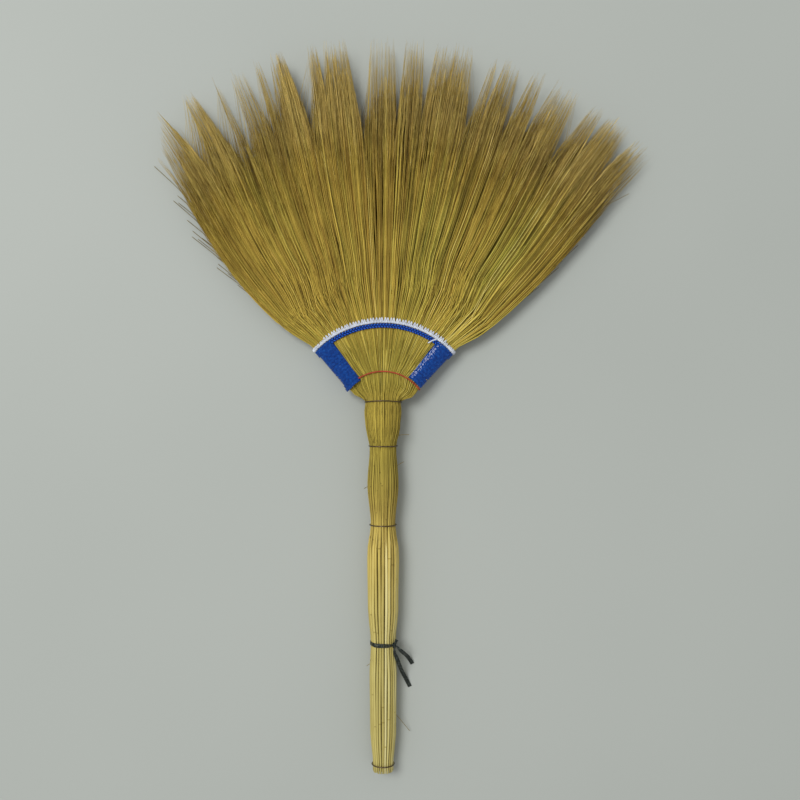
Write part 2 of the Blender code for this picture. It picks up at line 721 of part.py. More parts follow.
def build_tails(material, parent):
    for name, route in tail_routes().items():
        path = smooth_route(route, TAIL_WIDTH)
        mesh_data = bmesh.new()
        section = (TAIL_WIDTH / 2, TAIL_THICKNESS / 2)
        run = (route[-1] - route[0]).normalized()
        side = run.cross(Vector((0, 0, 1)))
        sweep(mesh_data, path, section, FLAT_SIDES, lambda n, along, side=side: side)
        make_object(name, mesh_data, route[0], material, parent)


def build_thread_end(material, parent):
    """The loose end of the white thread, laid across the blue band where the seam was finished."""
    lift = GAP * 2 + BLUE_THICKNESS * 1.3 + THREAD_RADIUS
    across = STRIP_SHARE - 0.03
    top = fan_point(across, BLUE_OUTER, outline_lift(across, BLUE_OUTER) + lift)
    low = fan_point(across - 0.05, BLUE_INNER - 0.002, outline_lift(across, BLUE_INNER) + lift)
    run = (low - top).normalized()
    path = [top + run * THREAD_LENGTH * share for share in (0.0, 0.35, 0.7, 1.0)]
    mesh_data = bmesh.new()
    section = (THREAD_RADIUS, THREAD_RADIUS)
    sweep(mesh_data, path, section, round_sides(5), lambda n, along: Vector((0, 0, 1)))
    return make_object("white_thread_end", mesh_data, top, material, parent)


def set_on_floor(parent):
    """Moves the whole broom so that its box is centred on the origin and stands on the floor."""
    bpy.context.view_layer.update()
    graph = bpy.context.evaluated_depsgraph_get()
    points = []
    for obj in parent.children:
        if obj.hide_render:
            continue
        shown = obj.evaluated_get(graph)
        points += [shown.matrix_world @ vert.co for vert in shown.data.vertices]
    low = Vector(min(point[axis] for point in points) for axis in range(3))
    high = Vector(max(point[axis] for point in points) for axis in range(3))
    parent.location = (-(low.x + high.x) / 2, -(low.y + high.y) / 2, -low.z)


def main():
    clear_scene()
    broom = bpy.data.objects.new("broom", None)
    bpy.context.scene.collection.objects.link(broom)
    grass = make_material("grass", (0.36, 0.26, 0.055), 0.75)
    core_grass = make_material("core_grass", (0.42, 0.33, 0.085), 0.75)
    wire = make_material("wire", (0.070, 0.045, 0.024), 0.50, 0.7)
    blue = make_material("blue_strap", (0.012, 0.055, 0.360), 0.35)
    white = make_material("white_thread", (0.76, 0.80, 0.88), 0.60)
    red = make_material("red_cord", (0.60, 0.060, 0.075), 0.60)
    black = make_material("black_strap", (0.016, 0.020, 0.018), 0.38)

    build_outer_stalks(grass, broom)
    build_core_hanks(core_grass, broom)
    build_wire("butt_wire", BUTT_WIRE_Y, wire, broom)
    build_wire("middle_wire", MIDDLE_WIRE_Y, wire, broom)
    build_wire("upper_wire", UPPER_WIRE_Y, wire, broom)
    build_wire("neck_wire", NECK_WIRE_Y, wire, broom)
    build_red_cord(red, broom)
    build_blue_band(blue, broom)
    build_white_edging(white, broom)
    build_thread_end(white, broom)
    build_side_binding("left_side_binding", -1, blue, broom)
    build_side_binding("right_side_binding", 1, blue, broom)
    build_tie(black, broom)
    build_tails(black, broom)
    set_on_floor(broom)


main()
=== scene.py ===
# %% [markdown]
# # A grass broom, dressed for its picture
# The broom is one armful of dry grass. Its stalks are wired into a round handle, and past the neck they
# open into a flat fan that cords and straps hold in shape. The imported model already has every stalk, wire
# and binding as a plain solid in its true place. Each cell below takes one of them and gives it its real
# surface: thousands of single fibres, plaited and twisted cords, and straps with rounded edges.

import json
import math

import bpy
import numpy as np
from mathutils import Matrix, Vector


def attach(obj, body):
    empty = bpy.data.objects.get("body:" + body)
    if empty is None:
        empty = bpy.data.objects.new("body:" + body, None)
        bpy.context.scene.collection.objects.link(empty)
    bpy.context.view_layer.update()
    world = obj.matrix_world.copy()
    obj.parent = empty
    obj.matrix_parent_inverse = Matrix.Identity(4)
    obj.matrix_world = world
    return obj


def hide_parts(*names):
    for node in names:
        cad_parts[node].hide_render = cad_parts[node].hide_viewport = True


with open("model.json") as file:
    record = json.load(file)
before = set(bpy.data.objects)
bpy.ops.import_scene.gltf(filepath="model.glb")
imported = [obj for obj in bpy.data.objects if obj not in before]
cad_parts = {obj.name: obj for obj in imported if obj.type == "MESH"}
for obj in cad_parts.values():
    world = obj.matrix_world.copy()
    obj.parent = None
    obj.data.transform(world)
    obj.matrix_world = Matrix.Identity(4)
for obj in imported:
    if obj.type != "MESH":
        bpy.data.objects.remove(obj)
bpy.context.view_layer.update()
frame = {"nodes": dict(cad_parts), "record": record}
print("solids to dress:", len(frame["nodes"]))

# %% [markdown]
# ## Where things are
# The fan is easiest to think about from the butt end: y grows along the handle towards the tips. The
# mount on the butt end says where that place is in the finished frame, so one shift carries every point
# across.

# %% Lines that run smoothly through a few sizes
def through(knots, place):
    """The value at a place on a smooth line through (place, value) knots, level at each knot."""
    if place <= knots[0][0]:
        return knots[0][1]
    for (start, first), (end, last) in zip(knots, knots[1:]):
        if place <= end:
            share = (place - start) / (end - start)
            return first + (last - first) * share * share * (3 - 2 * share)
    return knots[-1][1]


GAP = 0.0003  # clearance between pieces that touch
BUTT_WIRE_Y, TIE_Y, MIDDLE_WIRE_Y, UPPER_WIRE_Y, NECK_WIRE_Y = 0.009, 0.162, 0.311, 0.410, 0.466
GRIP_Y, GRIP_SWELL = 0.20521, 0.0194  # where the grip first reaches its full width
SHOULDER_Y, SHOULDER_SWELL = 0.4548, 0.0236

GIRTH = [
    (0.0, 0.0132), (BUTT_WIRE_Y, 0.0129), (0.05031, 0.0164), (0.12069, 0.0172), (TIE_Y, 0.0153),
    (GRIP_Y, GRIP_SWELL), (0.27971, 0.0200), (MIDDLE_WIRE_Y, 0.0156), (0.3605, 0.0199),
    (UPPER_WIRE_Y, 0.0167), (0.4324, 0.0219), (SHOULDER_Y, SHOULDER_SWELL), (NECK_WIRE_Y, 0.0218),
]


def bundle_radius(y):
    return through(GIRTH, y)


def axis_height(y):
    return GRIP_SWELL + (SHOULDER_SWELL - GRIP_SWELL) / (SHOULDER_Y - GRIP_Y) * (y - GRIP_Y)


def handle_surface(y, angle, out):
    """A point over the handle's surface, at an angle round it."""
    distance = bundle_radius(y) + out
    return Vector((distance * math.cos(angle), y, axis_height(y) + distance * math.sin(angle)))


butt_mount = next(mount for mount in frame["record"]["mounts"] if mount["name"] == "butt_end")
PLACE = Vector(butt_mount["pos_m"]) - Vector((0, 0, axis_height(0)))
print("the butt end's place:", [round(value, 4) for value in PLACE])

# %% [markdown]
# ## The camera
# The broom lies on the floor and is seen straight from above. The lens and the height come from how much
# of the handle's sides show near the edges of the picture.

# %% Hang the camera over the fan
CAMERA_OVER = Vector((0.0213, 0.4676, 1.21))  # from the butt end's place
HALF_PICTURE, PICTURE_DEPTH = 400, 946  # in pixels: half the picture's side, and how far away it was seen

bpy.ops.object.select_all(action="DESELECT")
bpy.ops.object.camera_add(location=PLACE + CAMERA_OVER, rotation=(0, 0, 0))
camera = bpy.context.object
camera.name = "camera"
camera.data.sensor_width = 36
camera.data.lens = 18 * PICTURE_DEPTH / HALF_PICTURE
bpy.context.scene.camera = camera
print("lens:", round(camera.data.lens, 2), "mm")

# %% [markdown]
# ## Node materials, written as sums
# A finish is a small tree of nodes. Written node by node it is long and hard to read, so a socket is
# wrapped in a class that knows Python's operators: `1 - mask * 0.5` then adds the Math nodes by itself.
# Every other node comes from one method, `node`, which takes its type, its settings and what goes into
# its sockets.

# %% A socket that can be added and multiplied
class Signal:
    """The output of a node. Python's operators on it add Math nodes."""

    def __init__(self, finish, socket):
        self.finish = finish
        self.socket = socket

    def maths(self, operation, first, second):
        return self.finish.node("ShaderNodeMath", {"operation": operation}, {0: first, 1: second})

    def __add__(self, other):
        return self.maths("ADD", self, other)

    def __radd__(self, other):
        return self.maths("ADD", other, self)

    def __sub__(self, other):
        return self.maths("SUBTRACT", self, other)

    def __rsub__(self, other):
        return self.maths("SUBTRACT", other, self)

    def __mul__(self, other):
        return self.maths("MULTIPLY", self, other)

    def between(self, low, high):
        """0 below low, 1 above high, and a smooth step from one to the other."""
        inputs = {"Value": self, "From Min": low, "From Max": high}
        return self.finish.node("ShaderNodeMapRange", {"interpolation_type": "SMOOTHSTEP"}, inputs)


class Finish:
    """A material and the tree of nodes behind it."""

    def __init__(self, name, colour, roughness, metallic=0.0, gloss=0.5):
        self.material = bpy.data.materials.new(name)
        self.material.use_nodes = True
        self.tree = self.material.node_tree
        self.shader = self.tree.nodes["Principled BSDF"]
        self.wear(Base_Color=(*colour, 1), Roughness=roughness, Metallic=metallic, Specular_IOR_Level=gloss)

    def node(self, kind, settings, inputs, output=0):
        made = self.tree.nodes.new(kind)
        for name, value in settings.items():
            if name == "stops":
                self.set_stops(made.color_ramp, value)
            else:
                setattr(made, name, value)
        for key, value in inputs.items():
            self.feed(made.inputs[key], value)
        return Signal(self, made.outputs[output])

    def set_stops(self, ramp, stops):
        while len(ramp.elements) < len(stops):
            ramp.elements.new(0.5)
        for element, (place, colour) in zip(ramp.elements, stops):
            element.position = place
            element.color = (*colour, 1)

    def feed(self, socket, value):
        if isinstance(value, Signal):
            self.tree.links.new(value.socket, socket)
        else:
            socket.default_value = value

    def place(self, scale):
        """The object's own coordinates in metres, times a scale for each axis."""
        own = self.node("ShaderNodeTexCoord", {}, {}, "Object")
        return self.node("ShaderNodeMapping", {}, {"Vector": own, "Scale": scale})

    def noise(self, scale, detail=2.0):
        """Cloudy values about 0.5. scale is how many clouds fit in a metre: one number, or one an axis."""
        scale = scale if isinstance(scale, tuple) else (scale,) * 3
        inputs = {"Vector": self.place(scale), "Scale": 1.0, "Detail": detail}
        return self.node("ShaderNodeTexNoise", {}, inputs)

    def mix(self, share, first, second):
        return self.node("ShaderNodeMix", {"data_type": "RGBA"}, {0: share, 6: first, 7: second}, 2)

    def ramp(self, share, stops):
        return self.node("ShaderNodeValToRGB", {"stops": stops}, {"Fac": share})

    def read(self, name):
        """A number that the mesh carries at each of its points."""
        return self.node("ShaderNodeAttribute", {"attribute_name": name}, {}, "Fac")

    def wear(self, **inputs):
        """Feeds the shader's sockets, named with _ for a space."""
        for name, value in inputs.items():
            self.feed(self.shader.inputs[name.replace("_", " ")], value)
        return self.material

    def bump(self, height, depth):
        inputs = {"Height": height, "Distance": depth, "Strength": 1.0}
        return self.node("ShaderNodeBump", {}, inputs, "Normal")


# %% [markdown]
# ## Straps and cords
# Three tools make all the bindings. A cord is a curve with a round bevel, turned into a mesh. A strap is
# flat, so it is swept: the same flat section, with rounded edges, is set at each point of its route. A
# twisted or plaited cord is several thin cords whose routes wind round a common line.

# %% A smooth route through a few chosen points
def smooth_route(points, step, closed=False):
    """Even places on a smooth curve through the points. A closed route ends just before it starts."""
    if closed:
        padded = [points[-1], *points, *points[:2]]
    else:
        padded = [points[0] * 2 - points[1], *points, points[-1] * 2 - points[-2]]
    found = []
    for a, b, c, d in zip(padded, padded[1:], padded[2:], padded[3:]):
        count = max(1, round((c - b).length / step))
        for number in range(count):
            t = number / count
            square = (a * 2 - b * 5 + c * 4 - d) * t * t
            cube = (b * 3 - a - c * 3 + d) * t**3
            found.append((b * 2 + (c - a) * t + square + cube) / 2)
    return found if closed else found + [points[-1]]


def squared(direction, along):
    """The direction turned just far enough to be square to along, with a length of 1."""
    return (direction - along * direction.dot(along)).normalized()


# %% Add and pick objects, and give a finished piece its place and its stand-in
def pick(active, *others):
    """Selects these objects and no other, as by hand. The first of them is the active one."""
    bpy.ops.object.select_all(action="DESELECT")
    for piece in (active, *others):
        piece.select_set(True)
    bpy.context.view_layer.objects.active = active


def add_object(name, data):
    """A new object in the scene with this mesh or curve, picked alone."""
    made = bpy.data.objects.new(name, data)
    bpy.context.scene.collection.objects.link(made)
    pick(made)
    return made


def settle(piece, slot_name, *nodes):
    """Lets a finished piece ride on the broom in place of the solids that it stands for."""
    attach(piece, "root")
    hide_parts(*nodes)
    print(piece.name, "has", len(piece.data.polygons), "faces")


# %% Lay round cords along their routes
def lay_cord(name, routes, radius, roundness, material, closed=False, girths=None):
    """A mesh of one or more round cords, each along its own route. girths lists how thick each point is."""
    curve = bpy.data.curves.new(name, "CURVE")
    curve.dimensions = "3D"
    curve.bevel_depth = radius
    curve.bevel_resolution = roundness
    curve.use_fill_caps = True
    for route in routes:
        spline = curve.splines.new("POLY")
        spline.points.add(len(route) - 1)
        for point, place, girth in zip(spline.points, route, girths or [1] * len(route)):
            point.co = (*(place + PLACE), 1)
            point.radius = girth
        spline.use_cyclic_u = closed
    add_object(name, curve)
    bpy.ops.object.convert(target="MESH")
    cord = bpy.context.object
    cord.name = name
    cord.data.materials.clear()
    cord.data.materials.append(material)
    bpy.ops.object.shade_smooth()
    return cord


# %% Sweep a flat strap along its route
STRAP_SECTION = [
    (1.0, 0.0), (0.93, 0.7), (0.5, 1.0), (-0.5, 1.0), (-0.93, 0.7),
    (-1.0, 0.0), (-0.93, -0.7), (-0.5, -1.0), (0.5, -1.0), (0.93, -0.7),
]
SMOOTH_UP_TO = math.radians(50)  # sharper edges than this stay sharp


def sweep_strap(name, route, widths, thickness, facing, material, closed=False):
    """A strap with rounded edges. facing(number, along) is the direction of its width at a point."""
    count, sides = len(route), len(STRAP_SECTION)
    points = []
    for number, place in enumerate(route):
        before = route[number - 1] if closed or number else place
        after = route[(number + 1) % count] if closed or number < count - 1 else place
        along = (after - before).normalized()
        across = squared(facing(number, along), along)
        out = across.cross(along)
        for a, b in STRAP_SECTION:
            points.append(place + across * a * widths[number] / 2 + out * b * thickness / 2 + PLACE)
    faces = []
    for ring in range(count if closed else count - 1):
        for side in range(sides):
            next_ring, next_side = (ring + 1) % count, (side + 1) % sides
            corners = (ring, side), (ring, next_side), (next_ring, next_side), (next_ring, side)
            faces.append([r * sides + s for r, s in corners])
    if not closed:
        faces.append(list(range(sides))[::-1])
        faces.append([(count - 1) * sides + side for side in range(sides)])
    mesh = bpy.data.meshes.new(name)
    mesh.from_pydata(points, [], faces)
    mesh.materials.append(material)
    strap = add_object(name, mesh)
    bpy.ops.object.mode_set(mode="EDIT")
    bpy.ops.mesh.select_all(action="SELECT")
    bpy.ops.mesh.normals_make_consistent(inside=False)
    bpy.ops.object.mode_set(mode="OBJECT")
    bpy.ops.object.shade_smooth_by_angle(angle=SMOOTH_UP_TO)
    return strap


# %% [markdown]
# ## The two free ends of the tie
# A black plastic strap is tied round the grip, and its two ends hang free: they leave the knot, come down
# beside the handle and end on the floor. They are free cords.
# The strap was pulled narrow by the knot, so each end starts slim and opens to its full width.

# %% The black strap's finish
def black_strap_finish():
    finish = Finish("black strap", (0.02, 0.025, 0.022), 0.4, gloss=0.3)
    streaks, worn = finish.noise(420, 3), finish.noise(900, 2)
    colour = finish.ramp(streaks, [
        (0.38, (0.006, 0.009, 0.007)),
        (0.55, (0.016, 0.022, 0.018)),
        (0.72, (0.070, 0.085, 0.072)),
    ])
    return finish.wear(Base_Color=colour, Roughness=worn * 0.3 + 0.30, Normal=finish.bump(streaks, 0.0006))


BLACK = black_strap_finish()

# %% Lay the two ends
KNOT_ANGLE = math.radians(38)
KNOT_WIDTH, KNOT_THICKNESS = 0.0070, 0.0042
TAIL_WIDTH, TAIL_THICKNESS = 0.0050, 0.0007
TAIL_STEP = 0.0012  # between the points of an end's route
NARROW = 0.45  # share of its width that an end has at the knot
OPENS_IN = 5  # its width is full after one part in this many of its length


def tail_routes():
    knot = handle_surface(TIE_Y, KNOT_ANGLE, GAP + KNOT_THICKNESS / 2)
    floor = TAIL_THICKNESS / 2 + GAP
    out = KNOT_THICKNESS / 2 + GAP * 2 + TAIL_THICKNESS / 2
    short = [
        knot + Vector((out, -0.0010, 0.0012)),
        knot + Vector((0.0065, -0.0050, 0.0012)),
        knot + Vector((0.0110, -0.0105, -0.0045)),
        Vector((knot.x + 0.0155, TIE_Y - 0.0175, 0.0130)),
        Vector((knot.x + 0.0195, TIE_Y - 0.0245, 0.0050)),
        Vector((knot.x + 0.0230, TIE_Y - 0.0310, floor + 0.0012)),
    ]
    long = [
        knot + Vector((0.0006, -KNOT_WIDTH / 2 - GAP * 2, -0.0010)),
        handle_surface(TIE_Y - 0.0100, KNOT_ANGLE * 0.95, 0.0026),
        handle_surface(TIE_Y - 0.0210, KNOT_ANGLE * 0.64, 0.0042),
        Vector((knot.x + 0.0096, TIE_Y - 0.0370, 0.0125)),
        Vector((knot.x + 0.0146, TIE_Y - 0.0490, 0.0040)),
        Vector((knot.x + 0.0200, TIE_Y - 0.0605, floor)),
    ]
    return {"tie_tail_short": short, "tie_tail_long": long}


for node, route in tail_routes().items():
    path = smooth_route(route, TAIL_STEP)
    opening = [min(1, OPENS_IN * number / len(path)) for number in range(len(path))]
    widths = [TAIL_WIDTH * (NARROW + (1 - NARROW) * share) for share in opening]
    run = (route[-1] - route[0]).normalized()
    side = run.cross(Vector((0, 0, 1)))
    tail = sweep_strap(node + "_strap", path, widths, TAIL_THICKNESS, lambda n, along, side=side: side, BLACK)
    settle(tail, "black_strap", node)
    world_path = [point + PLACE for point in path]
    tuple(world_path[0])

# %% [markdown]
# ## How the grass lies
# Every stalk keeps its own lane from the butt end to the tips: a round cell in the ring of the handle,
# which opens past the neck wire into a flat cell of one of the fan's three layers. These are the same
# rules that placed the solids, written again because a lane is needed here as numbers, every few
# millimetres.

# %% The fan's outline, its thickness and its columns
OUTER_STALKS, CORE_RING = 26, 6
COLUMNS = OUTER_STALKS // 2  # of stalks in the front layer, and as many in the back one
CORE_TURN = math.radians(10.893)
CULM_RADIUS = 0.0020
APEX_Y = NECK_WIRE_Y - 0.020
RED_RADIUS, BLUE_INNER, BLUE_OUTER, WHITE_OUTER, SEAM_END = 0.0572, 0.1115, 0.1178, 0.1225, 0.128
STRIP_WIDTH = [(RED_RADIUS, 0.0190), (BLUE_INNER, 0.0220)]
STRIP_RELAXED = 0.20
LEFT_EDGE = [(0.047, 53.0), (RED_RADIUS, 49.6), (BLUE_OUTER, 44.9), (0.17, 48.2), (0.46, 40.5)]
RIGHT_EDGE = [(0.047, 57.5), (RED_RADIUS, 50.8), (BLUE_OUTER, 46.6), (0.17, 50.4), (0.46, 46.0)]
HALF_THICKNESS = [
    (0.0, 0.0165), (RED_RADIUS, 0.0135), (BLUE_INNER, 0.0105),
    (SEAM_END, 0.0105), (0.30, 0.0140), (0.46, 0.0170),
]
MID_HEIGHT = [
    (0.0, 0.0232), (RED_RADIUS, 0.0205), (BLUE_INNER, 0.0170),
    (SEAM_END, 0.0165), (0.25, 0.0155), (0.46, 0.0166),
]
LAYER_SHARE, EDGE_THINNING, THIN_FROM = 0.31, 0.40, 0.60
CREST_HEIGHT = 0.866  # share of a layer's half thickness
STRIP_SHARE = 1 - 4 / COLUMNS
CORE_REACH_ACROSS = 0.83


def edge_angle(side, radius):
    return math.radians(through(RIGHT_EDGE if side > 0 else LEFT_EDGE, radius))


def ray_angle(across, radius):
    """The angle of a ray at across, -1 to 1 of the columns. At the seam the edge ones fill a narrow strip."""
    side = 1 if across >= 0 else -1
    edge = edge_angle(side, radius)
    bound = edge - through(STRIP_WIDTH, radius) / max(radius, RED_RADIUS)
    relaxed = through([(SEAM_END, 0.0), (STRIP_RELAXED, 1.0)], radius)
    knee = bound + (edge * STRIP_SHARE - bound) * relaxed
    share = abs(across)
    if share <= STRIP_SHARE:
        return side * knee * share / STRIP_SHARE
    return side * (knee + (edge - knee) * (share - STRIP_SHARE) / (1 - STRIP_SHARE))


def core_across(place):
    side = 1 if place >= 0 else -1
    inner = 1 - 2 / (CORE_RING + 1)
    share = abs(place)
    if share <= inner:
        return side * STRIP_SHARE * share / inner
    return side * (STRIP_SHARE + (CORE_REACH_ACROSS - STRIP_SHARE) * (share - inner) / (1 - inner))


def fan_point(across, radius, lift=0.0):
    angle = ray_angle(across, radius)
    height = through(MID_HEIGHT, radius) + lift
    return Vector((radius * math.sin(angle), APEX_Y + radius * math.cos(angle), height))


def layer_half(radius):
    return through(HALF_THICKNESS, radius) * LAYER_SHARE


def layer_lift(across, radius):
    thinning = through([(THIN_FROM, 0.0), (1.0, EDGE_THINNING)], abs(across))
    return (through(HALF_THICKNESS, radius) - layer_half(radius)) * (1 - thinning)


def outline_lift(across, radius):
    """The height of the outer layer's crests over the fan's middle."""
    nearby = max(abs(across) - 2 / OUTER_STALKS, 0)
    return layer_lift(nearby, radius) + layer_half(radius) * CREST_HEIGHT


print("half width of the fan at the seam:", round(fan_point(1, BLUE_OUTER).x * 1000), "mm")

# %% One lane from the butt end to the tips, as a table
HANDLE_STEPS = 38  # sections along the handle
FAN_RADII = [RED_RADIUS, 0.070, 0.090, BLUE_INNER, SEAM_END, 0.16, 0.20, 0.24, 0.28, 0.34, 0.40, 0.46, 0.52]
# Sections between the two: share of the fan's form, distance past the neck wire, radius, size if squeezed
OPENING = [(0.0, 0.0022, 0.0370, 0.86), (0.42, 0.0040, 0.0370, 0.72), (0.86, 0.0055, 0.0470, 0.74)]
LANE_STEP = 0.003


def smooth_table(along, rows):
    """Rows of numbers on a smooth line through those given, one every few millimetres."""
    along, rows = np.array(along), np.array(rows)
    gaps = np.diff(along)[:, None]
    slopes = np.diff(rows, axis=0) / gaps
    middle = (slopes[:-1] * gaps[1:] + slopes[1:] * gaps[:-1]) / (gaps[1:] + gaps[:-1])
    tangents = np.vstack([slopes[:1], middle, slopes[-1:]])
    places = np.linspace(along[0], along[-1], int((along[-1] - along[0]) / LANE_STEP))
    part = np.clip(np.searchsorted(along, places, side="right") - 1, 0, len(gaps) - 1)
    gap = gaps[part]
    t = (places - along[part])[:, None] / gap
    start, end = rows[part], rows[part + 1]
    smooth = t * t * (3 - 2 * t)
    pull = (t**3 - 2 * t**2 + t) * gap * tangents[part] + (t**3 - t**2) * gap * tangents[part + 1]
    return places, start + (end - start) * smooth + pull


class Lane:
    """The space that one stalk fills: its middle, and how far it reaches across and out, along its length."""

    def __init__(self, handle_at, fan_at, squeezed):
        stations = [(0.0, y, RED_RADIUS, 1.0) for y in np.linspace(0, NECK_WIRE_Y, HANDLE_STEPS)]
        stations += [(share, NECK_WIRE_Y + past, radius, squeeze) for share, past, radius, squeeze in OPENING]
        stations += [(1.0, NECK_WIRE_Y, radius, 1.0) for radius in FAN_RADII]
        cells = []
        for share, y, radius, squeeze in stations:
            hand, fan = handle_at(y), fan_at(radius)
            size = [(a + (b - a) * share) * (1 - (1 - squeeze) * squeezed) for a, b in zip(hand[2:], fan[2:])]
            cells.append((hand[0].lerp(fan[0], share), hand[1].lerp(fan[1], share).normalized(), *size))
        rows, along, travelled = [], [], 0.0
        for number, (middle, across, half_width, half_height) in enumerate(cells):
            before, after = cells[max(number - 1, 0)][0], cells[min(number + 1, len(cells) - 1)][0]
            out = across.cross(after - before).normalized()
            if number:
                travelled += (middle - cells[number - 1][0]).length
            along.append(travelled)
            rows.append([*middle, *(across * half_width), *(out * half_height), stations[number][0]])
        self.along, self.rows = smooth_table(along, rows)
        first = len(along) - len(FAN_RADII)
        self.fan_radii, self.fan_along = FAN_RADII, along[first:]
        self.neck = along[HANDLE_STEPS - 1]
        self.opening = along[HANDLE_STEPS:first]

    def at_radius(self, radius):
        """How far along the lane a radius of the fan is."""
        return np.interp(radius, self.fan_radii, self.fan_along)

    def look(self, along):
        """(middle, across, out, share of fan) at each of these distances, as arrays."""
        found = np.stack([np.interp(along, self.along, column) for column in self.rows.T], -1)
        return found[..., 0:3], found[..., 3:6], found[..., 6:9], found[..., 9:]

    def points(self, along, u, v):
        """Places in the lane, u across and v out, from -1 to 1: round in the handle and square in the fan."""
        middle, across, out, share = self.look(along)
        u, v = u[..., None], v[..., None]
        round_u = u * np.sqrt(1 - np.minimum(v * v, 1) / 2)
        round_v = v * np.sqrt(1 - np.minimum(u * u, 1) / 2)
        return middle + across * (round_u + (u - round_u) * share) + out * (round_v + (v - round_v) * share)


# %% The lanes of the ring and of the core
def stalk_fit(radius):
    sine = math.sin(math.pi / OUTER_STALKS)
    return min(CULM_RADIUS, (radius * sine - GAP / 2) / (1 + sine))


def core_fit(radius):
    return (radius - 2 * stalk_fit(radius) - GAP) / 3 - GAP / 2


def fan_cell(low, high, radius):
    start, end = fan_point(low, radius), fan_point(high, radius)
    return (start + end) / 2, (end - start).normalized(), (end - start).length / 2


def outer_lane(number):
    """(lane, name) of one stalk of the ring. The ring's upper half becomes the fan's front layer."""
    angle = (number + 0.5) * 2 * math.pi / OUTER_STALKS
    face = 1 if number < COLUMNS else -1
    column = number if face > 0 else OUTER_STALKS - 1 - number
    across = 1 - (2 * column + 1) / COLUMNS

    def handle_at(y):
        radius = stalk_fit(bundle_radius(y))
        around = Vector((math.sin(angle), 0, -math.cos(angle)))
        return handle_surface(y, angle, -radius), around, radius, radius

    def fan_at(radius):
        middle, direction, half = fan_cell(across - 1 / COLUMNS, across + 1 / COLUMNS, radius)
        lift = layer_lift(across, radius) * face
        return middle + Vector((0, 0, lift)), direction * face, half, layer_half(radius)

    label = f"{'front' if face > 0 else 'back'}_{COLUMNS - column:02d}"
    return Lane(handle_at, fan_at, squeezed=0.4), label


def core_lanes():
    turn = 2 * math.pi / CORE_RING
    places = [(0.0, 0.0)] + [(2.0, CORE_TURN + number * turn) for number in range(CORE_RING)]
    places.sort(key=lambda place: place[0] * math.cos(place[1]))
    width = 2 / (CORE_RING + 1)
    lanes = []
    for number, (distance, angle) in enumerate(places):
        middle_place = -1 + (number + 0.5) * width

        def handle_at(y, distance=distance, angle=angle):
            radius = core_fit(bundle_radius(y))
            spread = distance * (radius + GAP / 2)
            centre = Vector((spread * math.cos(angle), y, axis_height(y) + spread * math.sin(angle)))
            return centre, Vector((1, 0, 0)), radius, radius

        def fan_at(radius, place=middle_place):
            cell = fan_cell(core_across(place - width / 2), core_across(place + width / 2), radius)
            return *cell, layer_lift(0, radius) - layer_half(radius) - GAP

        lanes.append((Lane(handle_at, fan_at, squeezed=1.0), str(number + 1)))
    return lanes


test_lane, test_name = outer_lane(6)
print("lane", test_name, "is", round(float(test_lane.along[-1]), 3), "m long")

# %% [markdown]
# ## The tufts
# Past the seam the grass is free, and its thousands of fine branches cling together in tufts. Two short
# lists, measured, describe them: how far the grass reaches at each angle from the middle of the
# fan, and the gaps where it parts. Between the gaps, fibres lean a little towards the nearest of many
# small wisps.

# %% How far the grass reaches, and where it parts
CROWN = [
    (-52, 0.20), (-47, 0.28), (-45, 0.325), (-43, 0.355), (-41, 0.414), (-38.5, 0.428), (-36, 0.462),
    (-34, 0.410), (-31.5, 0.440), (-28.3, 0.384), (-25, 0.408), (-23.6, 0.398), (-21.5, 0.424),
    (-19.8, 0.418), (-17.3, 0.468), (-15, 0.474), (-13.8, 0.406), (-11.2, 0.465), (-8.5, 0.456),
    (-5, 0.436), (-3.6, 0.382), (0, 0.429), (2, 0.420), (6, 0.438), (7.3, 0.426), (12, 0.462),
    (16.3, 0.410), (20, 0.452), (22.8, 0.417), (25, 0.440), (27, 0.422), (30, 0.456), (33, 0.414),
    (39, 0.475), (41, 0.464), (43, 0.475), (45, 0.456), (47, 0.396), (49, 0.31), (53, 0.2),
]
# (angle, radius where the gap starts, degrees that each side has turned away 0.1 m past its start)
PARTINGS = [
    (-40.1, 0.390, 1.2), (-34.1, 0.352, 1.8), (-28.4, 0.352, 1.6), (-25.9, 0.330, 0.9), (-21.0, 0.370, 1.0),
    (-18.7, 0.385, 0.9), (-13.5, 0.356, 1.7), (-10.0, 0.398, 0.8), (-3.9, 0.345, 1.5), (2.6, 0.372, 0.9),
    (7.2, 0.372, 1.0), (15.8, 0.366, 1.5), (18.0, 0.392, 0.7), (22.6, 0.380, 1.1), (26.4, 0.385, 1.0),
    (32.7, 0.384, 1.6), (36.2, 0.400, 0.7), (41.5, 0.403, 1.2),
]
PARTING_SPREAD = math.radians(2.4)  # how far from a gap the grass still turns away
PARTED_OVER = 0.1  # how far past its start a gap has opened by those degrees
MOST_PARTED = 1.2  # times those degrees, and then it opens no further
FIRST_WISP, LAST_WISP = -0.86, 0.88  # in radians, from one edge of the fan to the other
WISP_SPACING = math.radians(0.95)
WISP_SHIFT = 0.35  # share of the spacing

CROWN_ANGLES = np.radians([angle for angle, _ in CROWN])
CROWN_REACHES = np.array([reach for _, reach in CROWN])
WISPS = np.arange(FIRST_WISP, LAST_WISP, WISP_SPACING)
wisp_chance = np.random.default_rng(5)
WISPS = WISPS + wisp_chance.uniform(-WISP_SHIFT, WISP_SHIFT, len(WISPS)) * WISP_SPACING


def part_grass(angle, radius):
    """Turns angles away from the gaps, more with each radius past a gap's start."""
    turned = angle.copy()
    for place, start, opening in PARTINGS:
        off = angle - math.radians(place)
        open_by = math.radians(opening) * np.clip((radius - start) / PARTED_OVER, 0, MOST_PARTED)
        turned += np.sign(off) * open_by * np.exp(-np.abs(off) / PARTING_SPREAD)
    return turned


